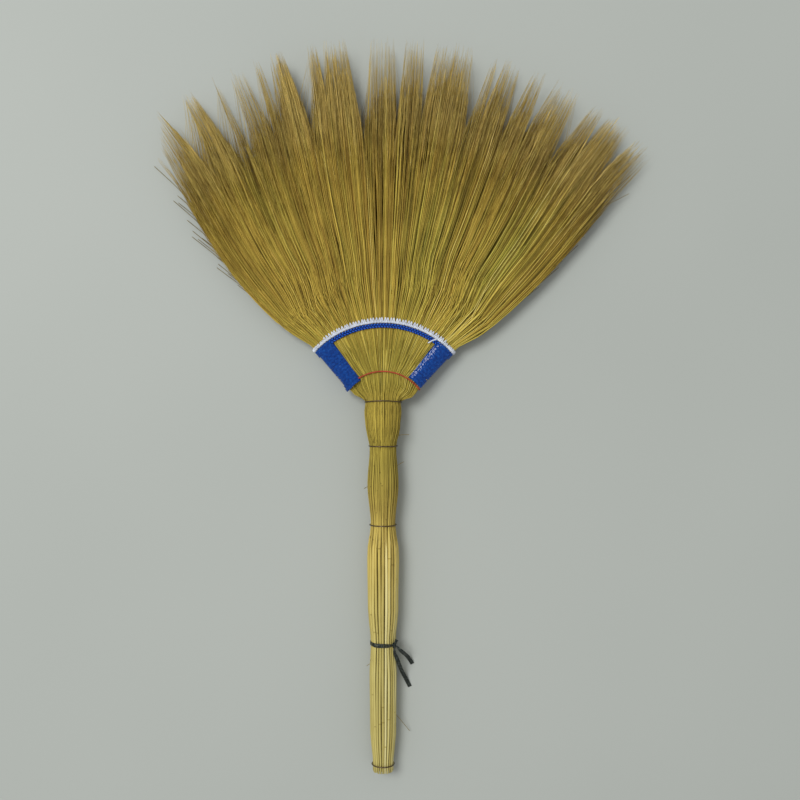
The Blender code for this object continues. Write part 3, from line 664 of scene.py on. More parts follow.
# Clefts between the straws, more of them to the right: angle, radius, half length, half opening
CLEFT_COUNT, CLEFT_SPREAD = 54, 0.0024
cleft_chance = np.random.default_rng(12)
CLEFTS = np.stack([
    np.radians(cleft_chance.triangular(-24, 36, 47, CLEFT_COUNT)),
    cleft_chance.uniform(0.17, 0.35, CLEFT_COUNT),
    cleft_chance.uniform(0.03, 0.08, CLEFT_COUNT),
    cleft_chance.uniform(0.0006, 0.0016, CLEFT_COUNT),
], 1)


def open_clefts(angle, radius):
    """Pushes whole fibres aside along each cleft, so that the dark between them shows."""
    turned = angle.copy()
    for place, middle, half_length, opening in CLEFTS:
        nearest = np.abs(radius - middle).argmin(1)
        off = (angle[np.arange(len(angle)), nearest] - place) * middle
        push = np.sign(off) * opening * np.exp(-np.abs(off) / CLEFT_SPREAD) / middle
        turned += push[:, None] * np.exp(-(((radius - middle) / half_length) ** 2))
    return turned


print("wisps:", len(WISPS))

# %% [markdown]
# ## One fibre, ten thousand times
# A fibre is a thin tube with three sides and a pointed end. Modelling each by hand, or with the particle
# system, gives no control over the lanes, so the meshes are worked out with numpy: all fibres of a stalk
# are rows of one array. Each is a few rings of three points, and the rings follow the lane from its start
# to its tip.

# %% Tubes from rows of places
FIBRE_SIDES = 3


def side_turns(sides):
    """The angle of each side of a tube: 0 is across its lane, and a quarter turn on is outwards."""
    return -2 * np.pi * np.arange(sides) / sides


def tube_points(places, across, out, radii, sides, tips):
    """The points of many tubes. places is (tubes, rings, 3) and radii (tubes, rings)."""
    turn = side_turns(sides)
    ring = np.cos(turn)[:, None] * across[..., None, :] + np.sin(turn)[:, None] * out[..., None, :]
    points = places[..., None, :] + ring * radii[..., None, None]
    points = points.reshape(len(places), -1, 3)
    return np.concatenate([points, tips[:, None]], 1)


def tube_faces(tubes, rings, sides):
    """Their triangles: the walls, a closed start and a pointed end."""
    faces = []
    for ring in range(rings - 1):
        for side in range(sides):
            a, b = ring * sides + side, ring * sides + (side + 1) % sides
            faces += [(a, b, b + sides), (a, b + sides, a + sides)]
    last = (rings - 1) * sides
    faces += [(last + side, last + (side + 1) % sides, rings * sides) for side in range(sides)]
    faces += [(0, side + 1, side) for side in range(1, sides - 1)]
    step = rings * sides + 1
    return (np.array(faces)[None] + step * np.arange(tubes)[:, None, None]).reshape(-1, 3)


def unit(vectors):
    return vectors / np.maximum(np.linalg.norm(vectors, axis=-1, keepdims=True), 1e-9)


# %% Bend the free part of the grass
FLOOR_CLEARANCE = 0.0004
# How much of its width a lane is flat on its outer side: by radius in the ring, and in the core
RING_CREST, CORE_CREST = [(SEAM_END, 0.72), (0.17, 0.93)], 0.5
CREST_OUT, SLOPE_END = 0.87, 1.04  # how far out the flat part lies, and how far across its slopes end
LEAST_RING, LEAST_CORE = 0.45, 0.05  # the grass is at least this share of it high at its sides
LEAN_FROM, MOST_LEAN, LEAN_GROWTH = 0.78, 1.1, 1.3  # a fibre leans past this share of its reach


def crest_height(u, radius, inner):
    """How far out the grass of a lane reaches at u across it: level in the middle, and down to its sides."""
    crest = CORE_CREST if inner else through(RING_CREST, radius)
    slope = (SLOPE_END - np.abs(u)) / (SLOPE_END - crest)
    return CREST_OUT * np.clip(slope, LEAST_CORE if inner else LEAST_RING, 1)


def lean_and_part(places, clinging, reach, clefts):
    """Bends the free part of each fibre towards its wisp, then away from the gaps."""
    x, y = places[..., 0], places[..., 1] - APEX_Y
    radius, angle = np.hypot(x, y), np.arctan2(x, y)
    own = angle[:, -2:-1]
    target = WISPS[np.abs(own - WISPS[None]).argmin(1)][:, None]
    start = LEAN_FROM * reach[:, None]
    share = np.clip((radius - start) / (reach[:, None] - start), 0, MOST_LEAN) ** LEAN_GROWTH
    angle = angle + (target - own) * (share * clinging[:, None])
    if clefts:
        angle = open_clefts(angle, radius)
    angle = part_grass(angle, radius)
    bent = places.copy()
    bent[..., 0] = radius * np.sin(angle)
    bent[..., 1] = APEX_Y + radius * np.cos(angle)
    return bent


def keep_off_floor(places, height):
    """Lifts every place that lies less than this height over the floor."""
    places[..., 2] = np.maximum(places[..., 2] + PLACE.z, height) - PLACE.z


def fan_angles(lane, u, radius):
    """The angles at which fibres in the middle of a lane's depth pass a radius of the fan."""
    places = lane.points(np.full(len(u), lane.at_radius(radius)), u, 0 * u)
    return np.arctan2(places[:, 0], places[:, 1] - APEX_Y)


# %% How far the fibres of a bunch reach
FRONT_LAYER, BACK_LAYER, CORE_LAYER = 1.0, 0.98, 0.965  # the share of the crown that each layer reaches
MOST_SHORT = 0.25  # plain fibres end up to this share short of it
BOLD_ENDS = (0.68, 0.96)  # bold straws end between these shares of it
HAIR_LENGTH = 0.090  # single hairs end up to this far past it
HAIR_END, HAIR_END_SPREAD = 0.474, 0.02  # the radius where the longest of them end
WIDEST = 0.288  # how far to the left any grass reaches
LEAST_SINE = 0.1  # stands for the sine near the middle and on the right, where nothing is that wide


def fibre_reaches(own, bold, hairs, layer, chance):
    """The radius at which each fibre ends, from its own angle."""
    count = len(own)
    crown = np.interp(own, CROWN_ANGLES, CROWN_REACHES) * layer
    reach = crown * (1.00 - MOST_SHORT * chance.random(count))
    reach = np.where(bold, crown * chance.uniform(*BOLD_ENDS, count), reach)
    hair_reach = crown + chance.uniform(0.0, HAIR_LENGTH, count)
    hair_reach = np.minimum(hair_reach, HAIR_END - chance.uniform(0, HAIR_END_SPREAD, count))
    return np.minimum(np.where(hairs, hair_reach, reach), WIDEST / np.maximum(-np.sin(own), LEAST_SINE))


def fibre_rings(begin, end, knots, rings, lead):
    """Distances along the lane of all rings: a fibre's start, its lead, the knots and its free part."""
    fixed = np.repeat(np.array(knots, float)[None], len(begin), 0)
    last = fixed[:, -1:] if len(knots) else begin
    parts = [begin, fixed, last + (end - last) * (np.arange(1, rings + 1) / rings)[None]]
    if lead:
        parts.insert(1, begin + (fixed[:, :1] - begin) * (np.arange(1, lead) / lead)[None])
    return np.concatenate(parts, 1)


# %% The bunch of fibres that grows from one lane
GOLDEN = 0.618034  # steps of this share, wrapped at 1, fill a range evenly
SPREAD_ACROSS, MOST_ACROSS = 1.02, 1.12  # where fibres start and how far they may drift, in half widths
OUTWARD = 1.15  # a power over 1 brings more fibres of a lane of the ring to its outer side
HAIR_SHARE, BOLD_DEPTH = 0.17, 0.12  # share of single hairs, and of the depth where bold straws lie, on top
LOOK_RADIUS, FARTHEST = 0.36, 0.484  # where a fibre's own angle is taken, and the radius that none passes
DRIFT, DRIFT_LENGTH, DRIFT_OUT = 0.08, 0.45, 0.4  # how far fibres drift, over what distance, and how much out
WAVE, WAVE_RATE = 0.02, 30  # half widths, and radians for each metre
SEWN_PAST, SEWN_IN, SEWN_DOWN = 0.012, 0.16, 0.06  # the seam holds the grass this far, narrower and lower
MOST_CLINGING, LEAST_REACH = 0.5, 0.30
TAPER = [0, 0.10, 0.50, 0.85, 1.0], [0.55, 1.0, 1.0, 0.64, 0.26]  # places along a fibre, and its size there
FIBRE_SIZES = (0.80, 1.12)
HANDLE_SIZE, GROWN_AFTER = 0.62, 0.12  # fibres are thinner in the handle, and full this far past the neck
BOLD_SIZE, HAIR_SIZE = 1.5, 0.7
# Tones: in the middle of the fan, and the change for each metre to the right. DEEP_SHADE is painted shade on
# the fibres that lie deeper in a bunch
TONE_SPREAD, DEEP_SHADE, BOLD_LIGHT = (0.10, 0.05), (0.40, 0.3), (0.10, 0.4)
FAN_TONE, RIGHT_SHADE, HAIR_SHADE = 0.285, 0.11, 0.08


def slide(value, x):
    """A value that changes evenly from left to right."""
    middle, per_metre = value
    return middle + per_metre * x


def grow_bunch(lane, layer, chance, count, start, knots, rings, thickness, lead, bold_every):
    """Fibres that start somewhere between two distances, pass the knots, and end at the crown of the fan.

    layer is how much of the crown's reach this layer has, and lead the number of rings before the first knot.
    One fibre in bold_every is a bold straw.
    """
    inner = layer == CORE_LAYER
    order = np.arange(count)
    u = -SPREAD_ACROSS + 2 * SPREAD_ACROSS * (order + chance.random(count)) / count
    depth = ((order * GOLDEN + chance.random()) % 1) ** (1.0 if inner else OUTWARD)
    bold = order % bold_every == 2 if bold_every else order < 0
    hairs = (chance.random(count) < HAIR_SHARE) & ~bold
    depth = np.where(bold, depth * BOLD_DEPTH, BOLD_DEPTH + (1 - BOLD_DEPTH) * depth)
    reach = fibre_reaches(fan_angles(lane, u, LOOK_RADIUS), bold, hairs, layer, chance)
    begin = chance.uniform(*start, count)[:, None]
    end = lane.at_radius(np.minimum(reach, FARTHEST))[:, None]
    along = fibre_rings(begin, end, knots, rings, lead)

    drift = np.clip((along - begin) / DRIFT_LENGTH, 0, 1)
    wave = chance.uniform(0, 2 * np.pi, (count, 2, 1))[:, 0]  # a fibre's second draw isn't used
    lean = chance.normal(0, DRIFT, (count, 2, 1))
    across_place = u[:, None] + lean[:, 0] * drift + WAVE * np.sin(wave + along * WAVE_RATE)
    sewn = along < lane.at_radius(SEAM_END) + SEWN_PAST
    most = MOST_ACROSS - SEWN_IN * sewn
    across_place = np.clip(across_place, -most, most)
    radii = np.median(np.interp(along, lane.fan_along, lane.fan_radii), 0)
    height = np.stack([crest_height(ring, radius, inner) for ring, radius in zip(across_place.T, radii)], 1)
    level = (1 - 2 * depth)[:, None] + DRIFT_OUT * lean[:, 1] * drift
    out_place = height * np.clip(level, -1.0, 1.0) * (1 - SEWN_DOWN * sewn)
    places = lane.points(along, across_place, out_place)
    clinging = np.where(hairs, 0.0, chance.uniform(0.0, MOST_CLINGING, count))
    places = lean_and_part(places, clinging, np.maximum(reach, LEAST_REACH), layer != BACK_LAYER)

    _, across, out, _ = lane.look(along)
    taper = np.interp((along - begin) / (end - begin), *TAPER)
    grown = HANDLE_SIZE + (1 - HANDLE_SIZE) * np.clip((along - lane.neck) / GROWN_AFTER, 0, 1)
    sizes = thickness * chance.uniform(*FIBRE_SIZES, (count, 1)) * grown * taper
    sizes = sizes * np.where(bold, BOLD_SIZE, np.where(hairs, HAIR_SIZE, 1.0))[:, None]
    keep_off_floor(places, sizes + FLOOR_CLEARANCE)
    x = places[:, -2, 0]
    # deeper fibres get painted shade
    tone = FAN_TONE + chance.normal(0, 1, count) * slide(TONE_SPREAD, x) - slide(DEEP_SHADE, x) * depth
    tone = tone - RIGHT_SHADE * x + bold * slide(BOLD_LIGHT, x) - HAIR_SHADE * hairs
    return {"places": places, "across": unit(across), "out": unit(out), "sizes": sizes, "along": along,
            "tone": tone.clip(0, 1), "feathered": np.flatnonzero(~hairs), "reach": reach}


# %% The fine branches of the plumes
BRANCHES_EACH = 3
BRANCH_SEATS = 3.4, 1.05  # the first and the last seat on a fibre, in rings back from its end
BRANCH_LENGTHS, LEAST_BRANCH, PAST_REACH = (0.016, 0.042), 0.004, 0.006
BRANCH_TURNS, BRANCH_TILT, BRANCH_CURL = (0.02, 0.09), 0.03, 0.4  # to the side, up or down, and back again
BRANCH_RADII, BRANCH_TAPER = (0.00017, 0.00026), 0.75
BRANCH_BODY = 0.75  # the rest of its length is the pointed tip
BRANCH_SHADE, BRANCH_TONE_SPREAD = 0.04, 0.08
UP = np.array([0, 0, 1.0])


def grow_branchlets(bunch, chance):
    """Short hairs that leave a fibre at a small angle near its tip, in arrays like those of the bunch."""
    places, rings = bunch["places"], bunch["places"].shape[1]
    parents = np.repeat(bunch["feathered"], BRANCHES_EACH)
    count = len(parents)
    seat = chance.uniform(rings - BRANCH_SEATS[0], rings - BRANCH_SEATS[1], count)
    low = np.floor(seat).astype(int)
    start, after = places[parents, low], places[parents, low + 1]
    base = start + (after - start) * (seat - low)[:, None]
    run = unit(after - start)
    side = unit(np.cross(run, UP))
    turn = chance.uniform(*BRANCH_TURNS, (count, 1)) * chance.choice([-1, 1], (count, 1))
    tilt = chance.normal(0, BRANCH_TILT, (count, 1))
    length = chance.uniform(*BRANCH_LENGTHS, (count, 1))
    room = bunch["reach"][parents] + PAST_REACH - np.hypot(base[:, 0], base[:, 1] - APEX_Y)
    length = np.minimum(length, np.maximum(room, LEAST_BRANCH)[:, None])
    heading = unit(run + side * turn + UP * tilt)
    sizes = np.repeat(chance.uniform(*BRANCH_RADII, (count, 1)), 2, 1) * np.array([1.0, BRANCH_TAPER])
    line = np.stack([base, base + heading * length * BRANCH_BODY], 1)
    keep_off_floor(line, FLOOR_CLEARANCE)
    across = np.repeat(side[:, None], 2, 1)
    out = np.cross(across, np.repeat(heading[:, None], 2, 1))
    far = np.repeat(bunch["along"][parents, -1:], 2, 1)
    tone = (bunch["tone"][parents] - BRANCH_SHADE + chance.normal(0, BRANCH_TONE_SPREAD, count)).clip(0, 1)
    tips = unit(heading - side * turn * BRANCH_CURL) * length * (1 - BRANCH_BODY)
    return {"places": line, "across": across, "out": out, "sizes": sizes, "along": far, "tone": tone,
            "parents": parents, "tips": tips}


# %% [markdown]
# ## The straws of the handle
# Low in the handle each stalk is one thick pale straw, cut off square at the butt end. A straw is round
# and hollow, it swells a little at its joints, and no two are quite the same. Higher up the straws are
# thinner, and three more lie in each lane of the ring, beside the first one and over it.

# %% Straws with joints
STRAW_SIDES, STRAW_RINGS = 10, 34
JOINTS, JOINTS_FROM, JOINTS_TO = 2, 0.03, 0.40  # how many a straw has, and where
JOINT_SWELL, JOINT_SHADE, JOINT_HALF_LENGTH = 0.10, 0.35, 0.0012
ANY_PHASE = (0, 6.3)  # about one turn, in radians
# Each straw winds a little: shares of the lane's half width, and radians for each metre
ACROSS_WAVE, ACROSS_RIPPLE, OUT_WAVE = (0.16, 21), (0.05, 63), (0.16, 29)
STRAW_SIZES, THINNEST_END = (0.80, 1.04), 0.05
STRAW_TONE, STRAW_TONE_SPREAD = 0.42, 0.20
UPPER_TONE, EVENED = 0.28, 0.65  # above the middle wire each tone goes this share of the way to the upper one
EVENED_BEFORE, EVENED_OVER = 0.02, 0.04  # how far before that wire this begins, and how long it grows
FLANK_SHADE, LEAST_FLANK = 0.95, 0.15  # how much painted shade darkens it beside its neighbours, and the share of that low in the handle
FLANK_BEFORE, FLANK_OVER = 0.01, 0.03  # the same two lengths for this
STRAW_CLEARANCE = 0.00005


def winding(wave, phase, along):
    """How far a wave takes a straw off its line at each place along it."""
    size, rate = wave
    return size * np.sin(phase + along * rate)


def grow_straw(lane, u, v, share_at, end, chance, tail, shade=0.0):
    """One straw. share_at lists (distance, share of the lane's half width), and tail is where it thins out.

    shade is painted shade that darkens it above the middle wire, where others lie over it.
    """
    joints = np.sort(chance.uniform(JOINTS_FROM, JOINTS_TO, JOINTS))
    stops = list(np.linspace(share_at[0][0], end, STRAW_RINGS))
    for joint in joints:
        stops += [joint - JOINT_HALF_LENGTH, joint, joint + JOINT_HALF_LENGTH]
    along = np.sort(np.array(stops))[None]
    phases = chance.uniform(*ANY_PHASE, 3)
    u_line = u + winding(ACROSS_WAVE, phases[0], along) + winding(ACROSS_RIPPLE, phases[2], along)
    v_line = v + winding(OUT_WAVE, phases[1], along)
    places = lane.points(along, u_line, v_line)
    _, across, out, _ = lane.look(along)
    room = np.minimum(np.linalg.norm(across, axis=-1), CULM_RADIUS)
    at_joint = sum(np.clip(1 - np.abs(along - joint) / JOINT_HALF_LENGTH, 0, 1) for joint in joints)
    sizes = room * np.interp(along, *zip(*share_at)) * chance.uniform(*STRAW_SIZES)
    sizes = sizes * (1 + JOINT_SWELL * at_joint)
    sizes = sizes * np.clip((end - along) / tail, THINNEST_END, 1)
    tone = chance.normal(STRAW_TONE, STRAW_TONE_SPREAD, 1).clip(0, 1)
    past_wire = along - MIDDLE_WIRE_Y
    # dark holds the tone moving to the upper one, painted shade where others lie over it, and below the
    # darker joints
    dark = (EVENED * (tone - UPPER_TONE) + shade) * np.clip((past_wire + EVENED_BEFORE) / EVENED_OVER, 0, 1)
    dark = dark + JOINT_SHADE * at_joint
    flank = FLANK_SHADE * np.clip((past_wire + FLANK_BEFORE) / FLANK_OVER, LEAST_FLANK, 1)
    keep_off_floor(places, sizes + STRAW_CLEARANCE)
    return {"places": places, "across": unit(across), "out": unit(out), "sizes": sizes, "along": along,
            "dark": dark, "flank": flank, "tone": tone}


# %% The cut end of a straw
MOST_CUT_OFF, HOLLOW_DEPTH = 0.0012, 0.0009
END_SIZES = 0.42, 0.50, 0.97  # the hollow's floor, its mouth and the rim, as shares of the straw's size
# painted shade in the hollow of a cut end, and a little at its mouth
HOLLOW_SHADE, MOUTH_SHADE = 0.9, 0.3


def cut_end(straw, chance):
    """The butt end: three rings in place of the first, which make a rim and a shallow hollow."""
    first, size = straw["places"][:, :1], straw["sizes"][:, :1]
    rim = first + np.array([0, 1.0, 0]) * chance.uniform(0.0, MOST_CUT_OFF)
    floor_ring = rim + np.array([0, HOLLOW_DEPTH, 0])
    straw["places"] = np.concatenate([floor_ring, rim, rim, straw["places"][:, 1:]], 1)
    straw["sizes"] = np.concatenate([*(size * share for share in END_SIZES), straw["sizes"][:, 1:]], 1)
    for name in ("across", "out", "along", "flank"):
        straw[name] = np.concatenate([straw[name][:, :1]] * 2 + [straw[name]], 1)
    straw["dark"] = np.concatenate([[[HOLLOW_SHADE, MOUTH_SHADE]], straw["dark"]], 1)
    return straw


# %% [markdown]
# ## The colours of dry grass
# The grass is golden, and greener in streaks where it dried in the shade, paler at its flower tips, and
# pale and yellow in the thick straws of the handle. Each fibre carries three numbers for this at its
# points: its tone, which also holds painted shade where it lies deep, beside or under others and painted
# light near the neck, how green it is there and how far along the broom. The material turns them into
# colour, and adds fine grain to colour, roughness and bump.

# %% The grass material
def grass_finish(name, warmth):
    finish = Finish(name, (0.36, 0.26, 0.055), 0.7, gloss=0.2)
    tone, green, along = finish.read("tone"), finish.read("green"), finish.read("along")
    grain = finish.noise((1400, 60, 1400), 2)
    cloud = finish.noise(30, 2)
    shade = tone * 0.85 + grain * 0.25 + cloud * 0.20 - 0.15
    dry = finish.ramp(shade, [
        (0.05, (0.130 * warmth, 0.072, 0.012)),
        (0.28, (0.400 * warmth, 0.265, 0.042)),
        (0.50, (0.700 * warmth, 0.500, 0.090)),
        (0.74, (0.900 * warmth, 0.700, 0.220)),
        (1.00, (0.960 * warmth, 0.870, 0.440)),
    ])
    fresh = finish.ramp(shade, [
        (0.1, (0.140, 0.150, 0.020)),
        (0.5, (0.540, 0.520, 0.085)),
        (1.0, (0.840, 0.830, 0.280)),
    ])
    straw = finish.ramp(shade, [
        (0.1, (0.290, 0.225, 0.055)),
        (0.5, (0.550, 0.470, 0.155)),
        (1.0, (0.780, 0.715, 0.370)),
    ])
    tip = finish.ramp(shade, [
        (0.0, (0.400, 0.280, 0.070)),
        (0.33, (0.950, 0.740, 0.250)),
        (1.0, (1.000, 0.890, 0.480)),
    ])
    colour = finish.mix(green, dry, fresh)
    colour = finish.mix(along.between(0.83, 0.98) * 0.85, colour, tip)
    colour = finish.mix(1 - along.between(0.12, 0.48), colour, straw)
    rough = 0.50 + grain * 0.25 + along.between(0.3, 0.5) * 0.12
    return finish.wear(Base_Color=colour, Roughness=rough, Normal=finish.bump(grain, 0.00012))


GRASS = grass_finish("grass", 1.0)
CORE_GRASS = grass_finish("core grass", 1.02)

# %% How green the grass is at a place
# Patches of the fan: an angle, its spread, a radius, its spread and how green it is
GREEN_PATCHES = [
    (15, 9, 0.21, 0.09, 0.40), (37, 6, 0.25, 0.08, 0.50),
    (-28, 5, 0.29, 0.08, 0.18), (-12, 4, 0.2, 0.06, 0.2),
]
# Streaks between the rays: how strong, how close together and how far on they start
GREEN_STREAKS = [(0.10, 1.9, 1), (0.08, 4.3, 0), (0.06, 9.7, 2)]
# Olive girdles round the neck and the upper handle: how strong, where along the broom, and their spread
OLIVE_GIRDLES = [(0.34, 0.50, 0.07), (0.36, 0.385, 0.06)]
LEAST_GREEN, MOST_GREEN = 0.10, 0.85
GREEN_OVER = 0.02  # the fan's green grows over this length past the neck wire


def greenness(points):
    x, y = points[:, 0], points[:, 1] - APEX_Y
    radius, angle = np.hypot(x, y), np.degrees(np.arctan2(x, y))
    green = sum((size * np.sin(angle * rate + phase) for size, rate, phase in GREEN_STREAKS), LEAST_GREEN)
    for middle, spread, far, depth, strength in GREEN_PATCHES:
        green += strength * np.exp(-(((angle - middle) / spread) ** 2) - ((radius - far) / depth) ** 2)
    in_fan = np.clip((points[:, 1] - NECK_WIRE_Y) / GREEN_OVER, 0, 1)
    olive = 0.0
    for strength, middle, spread in OLIVE_GIRDLES:
        olive = olive + strength * np.exp(-(((points[:, 1] - middle) / spread) ** 2))
    return (green * in_fan + olive).clip(0, MOST_GREEN)


# %% [markdown]
# ## A mesh for each stalk
# All the tubes of a stalk are joined into one mesh, with its numbers written on its points. Colours are
# baked through a UV map, and Blender's own unwrapping would scatter thousands of slivers. So the
# map is laid out here: each fibre gets one small cell of the image, and each straw a long band under
# them.

# %% Places in the UV image
STRAW_BAND = 0.22  # share of the UV image under the fibres' cells
BAND_FILLED, ROW_MARGIN, CELL_MARGIN = 0.9, 0.15, 0.18
BRANCH_CELL = 0.15  # branchlets share the last part of their fibre's cell


def cell_map(index, cells, ring_share, wide):
    """UV places in the cell of one fibre: wide is 0 to 1 across it and ring_share 0 to 1 along it."""
    columns = math.ceil(math.sqrt(cells))
    size = 1 / columns
    inside = 1 - 2 * CELL_MARGIN
    left = (index % columns) * size + size * (CELL_MARGIN + inside * wide)
    low = (index // columns) * size + size * (CELL_MARGIN + inside * ring_share)
    return np.stack([left, STRAW_BAND + low * (1 - STRAW_BAND)], -1)


def fibre_uv(index, cells, ring_share):
    wide = np.tile(np.arange(FIBRE_SIDES) / (FIBRE_SIDES - 1), ring_share.shape[1] - 1)[None]
    walls = cell_map(index[:, None], cells, np.repeat(ring_share[:, :-1], FIBRE_SIDES, 1), wide)
    return np.concatenate([walls, cell_map(index[:, None], cells, ring_share[:, -1:], 0.5)], 1)


def straw_uv(row, rows, ring_share):
    """A straw has a row of its own in the band."""
    height = STRAW_BAND * BAND_FILLED / rows
    low = row * height
    around = low + height * (ROW_MARGIN + (1 - 2 * ROW_MARGIN) * np.arange(STRAW_SIDES) / STRAW_SIDES)
    around = np.tile(around, (1, ring_share.shape[1] - 1))
    walls = np.stack([np.repeat(ring_share[:, :-1], STRAW_SIDES, 1), around], -1)
    return np.concatenate([walls, [[[1, low + height / 2]]]], 1)


# %% Join the tubes of a stalk
LENGTH_OF_BROOM = 0.93
PAINTED_NECK_LIGHT, BRIGHT_AT, BRIGHT_SPREAD = 0.08, 0.53, 0.05  # painted light: the grass is lighter where it is pressed flat
TIP_LENGTH, TIP_CLEARANCE = 0.004, 0.0002


def on_points(values, sides, flank=None):
    """Spreads each ring's number over its points, and the last one to the tip. flank paints shade on the
    sides and underneath, where neighbours lie.
    """
    spread = np.repeat(values, sides, 1)
    if flank is not None:
        turn = np.tile(side_turns(sides), values.shape[1])
        spread = spread - np.repeat(flank, sides, 1) * (1 - np.maximum(np.sin(turn), 0)) ** 2
    return np.concatenate([spread, values[:, -1:]], 1).reshape(-1)


def join_tubes(name, bunches, straws, material):
    cells = sum(len(bunch["places"]) for bunch in bunches if "parents" not in bunch)
    points, faces, tones, alongs, uv_points = [], [], [], [], []
    total, first_cell, next_cell = 0, 0, 0
    for number, bunch in enumerate(bunches + straws):
        is_straw = number >= len(bunches)
        sides = STRAW_SIDES if is_straw else FIBRE_SIDES
        places, along = bunch["places"], bunch["along"]
        tubes, rings = places.shape[:2]
        onward = bunch["tips"] if "tips" in bunch else unit(places[:, -1] - places[:, -2]) * TIP_LENGTH
        tips = places[:, -1] + onward
        keep_off_floor(tips, TIP_CLEARANCE)
        made = tube_points(places, bunch["across"], bunch["out"], bunch["sizes"], sides, tips)
        points.append(made.reshape(-1, 3))
        faces.append(tube_faces(tubes, rings, sides) + total)
        total += len(points[-1])
        tone = np.repeat(bunch["tone"][:, None], rings, 1) - bunch.get("dark", 0)
        tone = tone + PAINTED_NECK_LIGHT * np.exp(-(((along - BRIGHT_AT) / BRIGHT_SPREAD) ** 2))
        tones.append(on_points(tone, sides, bunch.get("flank")))
        alongs.append(on_points(along / LENGTH_OF_BROOM, sides))
        ring_share = np.repeat(np.linspace(0, 1, rings + 1)[None], tubes, 0)
        if is_straw:
            made_uv = straw_uv(number - len(bunches), len(straws), ring_share)
        elif "parents" in bunch:
            end_of_cell = 1 - BRANCH_CELL + BRANCH_CELL * ring_share
            made_uv = fibre_uv(bunch["parents"] + first_cell, cells, end_of_cell)
        else:
            first_cell, next_cell = next_cell, next_cell + tubes
            made_uv = fibre_uv(np.arange(tubes) + first_cell, cells, ring_share)
        uv_points.append(made_uv.reshape(-1, 2))
    points = np.concatenate(points)
    numbers = {"tone": np.concatenate(tones), "along": np.concatenate(alongs), "green": greenness(points)}
    return make_grass(name, points, np.concatenate(faces), numbers, np.concatenate(uv_points), material)


def make_grass(name, points, faces, numbers, uv_points, material):
    mesh = bpy.data.meshes.new(name)
    mesh.vertices.add(len(points))
    mesh.vertices.foreach_set("co", (points + np.array(PLACE)).astype(np.float32).ravel())
    mesh.loops.add(faces.size)
    mesh.loops.foreach_set("vertex_index", faces.astype(np.int32).ravel())
    mesh.polygons.add(len(faces))
    mesh.polygons.foreach_set("loop_start", np.arange(0, faces.size, 3, dtype=np.int32))
    mesh.update(calc_edges=True)
    for attribute, values in numbers.items():
        made = mesh.attributes.new(attribute, "FLOAT", "POINT")
        made.data.foreach_set("value", values.astype(np.float32))
    layer = mesh.uv_layers.new(name="OFBake")
    layer.data.foreach_set("uv", uv_points[faces.ravel()].astype(np.float32).ravel())
    mesh.polygons.foreach_set("use_smooth", np.ones(len(faces), bool))
    mesh.materials.append(material)
    return add_object(name, mesh)


# %% Dress the stalks of the ring
OUTER_FIBRES = (84, 105, 226)  # how many start in the handle, before the seam and past it
FIBRE_THICKNESS, EARLY_SHARE = 0.00052, 0.9  # fibres that start before the seam are thinner
HANDLE_STARTS = (0.380, 0.455)  # distances from the butt end
SEAM_STARTS, SEAM_KNOTS, FREE_STARTS = (0.040, 0.10), (0.115, 0.13), (0.14, 0.24)  # radii of the fan
BEFORE_NECK, NECK_RADII = 0.003, (0.0572, 0.07, 0.09, 0.1115, 0.13, 0.18)
LEAD_RINGS = 5  # between a fibre's start in the handle and the neck
EARLY_RINGS, FREE_RINGS = 5, 6  # past the last knot of a fibre from the handle, and of any other
BOLD_EARLY, BOLD_SEAM = 24, 11  # one fibre in so many is a bold straw
THIN_STRAW = [(0.275, 0.02), (0.312, 0.46), (0.40, 0.42), (0.455, 0.36), (0.485, 0.24)]
THIN_END, THIN_TAIL = 0.55, 0.05
THIN_PLACES = [(-0.50, 0.44), (0.48, 0.40), (0.98, -0.14)]  # across the lane, and out
THICK_STRAW = [(0.0, 0.97), (0.27, 0.95), (0.312, 0.66), (0.36, 0.50), (0.455, 0.40), (0.485, 0.26)]
# THICK_SHADE is painted shade on the thick straw above the middle wire, where the thin ones lie over it
THICK_END, THICK_TAIL, THICK_SHADE = 0.52, 0.06, 0.22


def neck_knots(lane):
    """Distances that a fibre from the handle must pass, so that it follows the bends of the neck."""
    return [lane.neck - BEFORE_NECK, *lane.opening, *lane.at_radius(NECK_RADII)]


def dress_lane(lane, layer, counts, chance):
    """The fibres of a lane and their branchlets. Only the lanes of the ring have bold straws."""
    early, seam, late = counts
    bold_early, bold_seam = (0, 0) if layer == CORE_LAYER else (BOLD_EARLY, BOLD_SEAM)
    slim = FIBRE_THICKNESS * EARLY_SHARE
    rows = [
        (early, HANDLE_STARTS, neck_knots(lane), EARLY_RINGS, slim, LEAD_RINGS, bold_early),
        (seam, lane.at_radius(SEAM_STARTS), lane.at_radius(SEAM_KNOTS), FREE_RINGS, slim, 0, bold_seam),
        (late, lane.at_radius(FREE_STARTS), [], FREE_RINGS, FIBRE_THICKNESS, 0, 0),
    ]
    grown = []
    for bunch in [grow_bunch(lane, layer, chance, *row) for row in rows]:
        grown += [bunch, grow_branchlets(bunch, chance)]
    return grown


outer_chance, straw_chance = np.random.default_rng(21), np.random.default_rng(50)
for number in range(OUTER_STALKS):
    lane, label = outer_lane(number)
    layer = FRONT_LAYER if label.startswith("front") else BACK_LAYER
    bunches = dress_lane(lane, layer, OUTER_FIBRES, outer_chance)
    thick = grow_straw(lane, 0.0, 0.0, THICK_STRAW, THICK_END, straw_chance, THICK_TAIL, THICK_SHADE)
    straws = [cut_end(thick, straw_chance)]
    for side, out in THIN_PLACES:
        straws.append(grow_straw(lane, side, out, THIN_STRAW, THIN_END, straw_chance, THIN_TAIL))
    plume = join_tubes("plume_" + label, bunches, straws, GRASS)
    settle(plume, "grass", "grass_stalk_" + label)

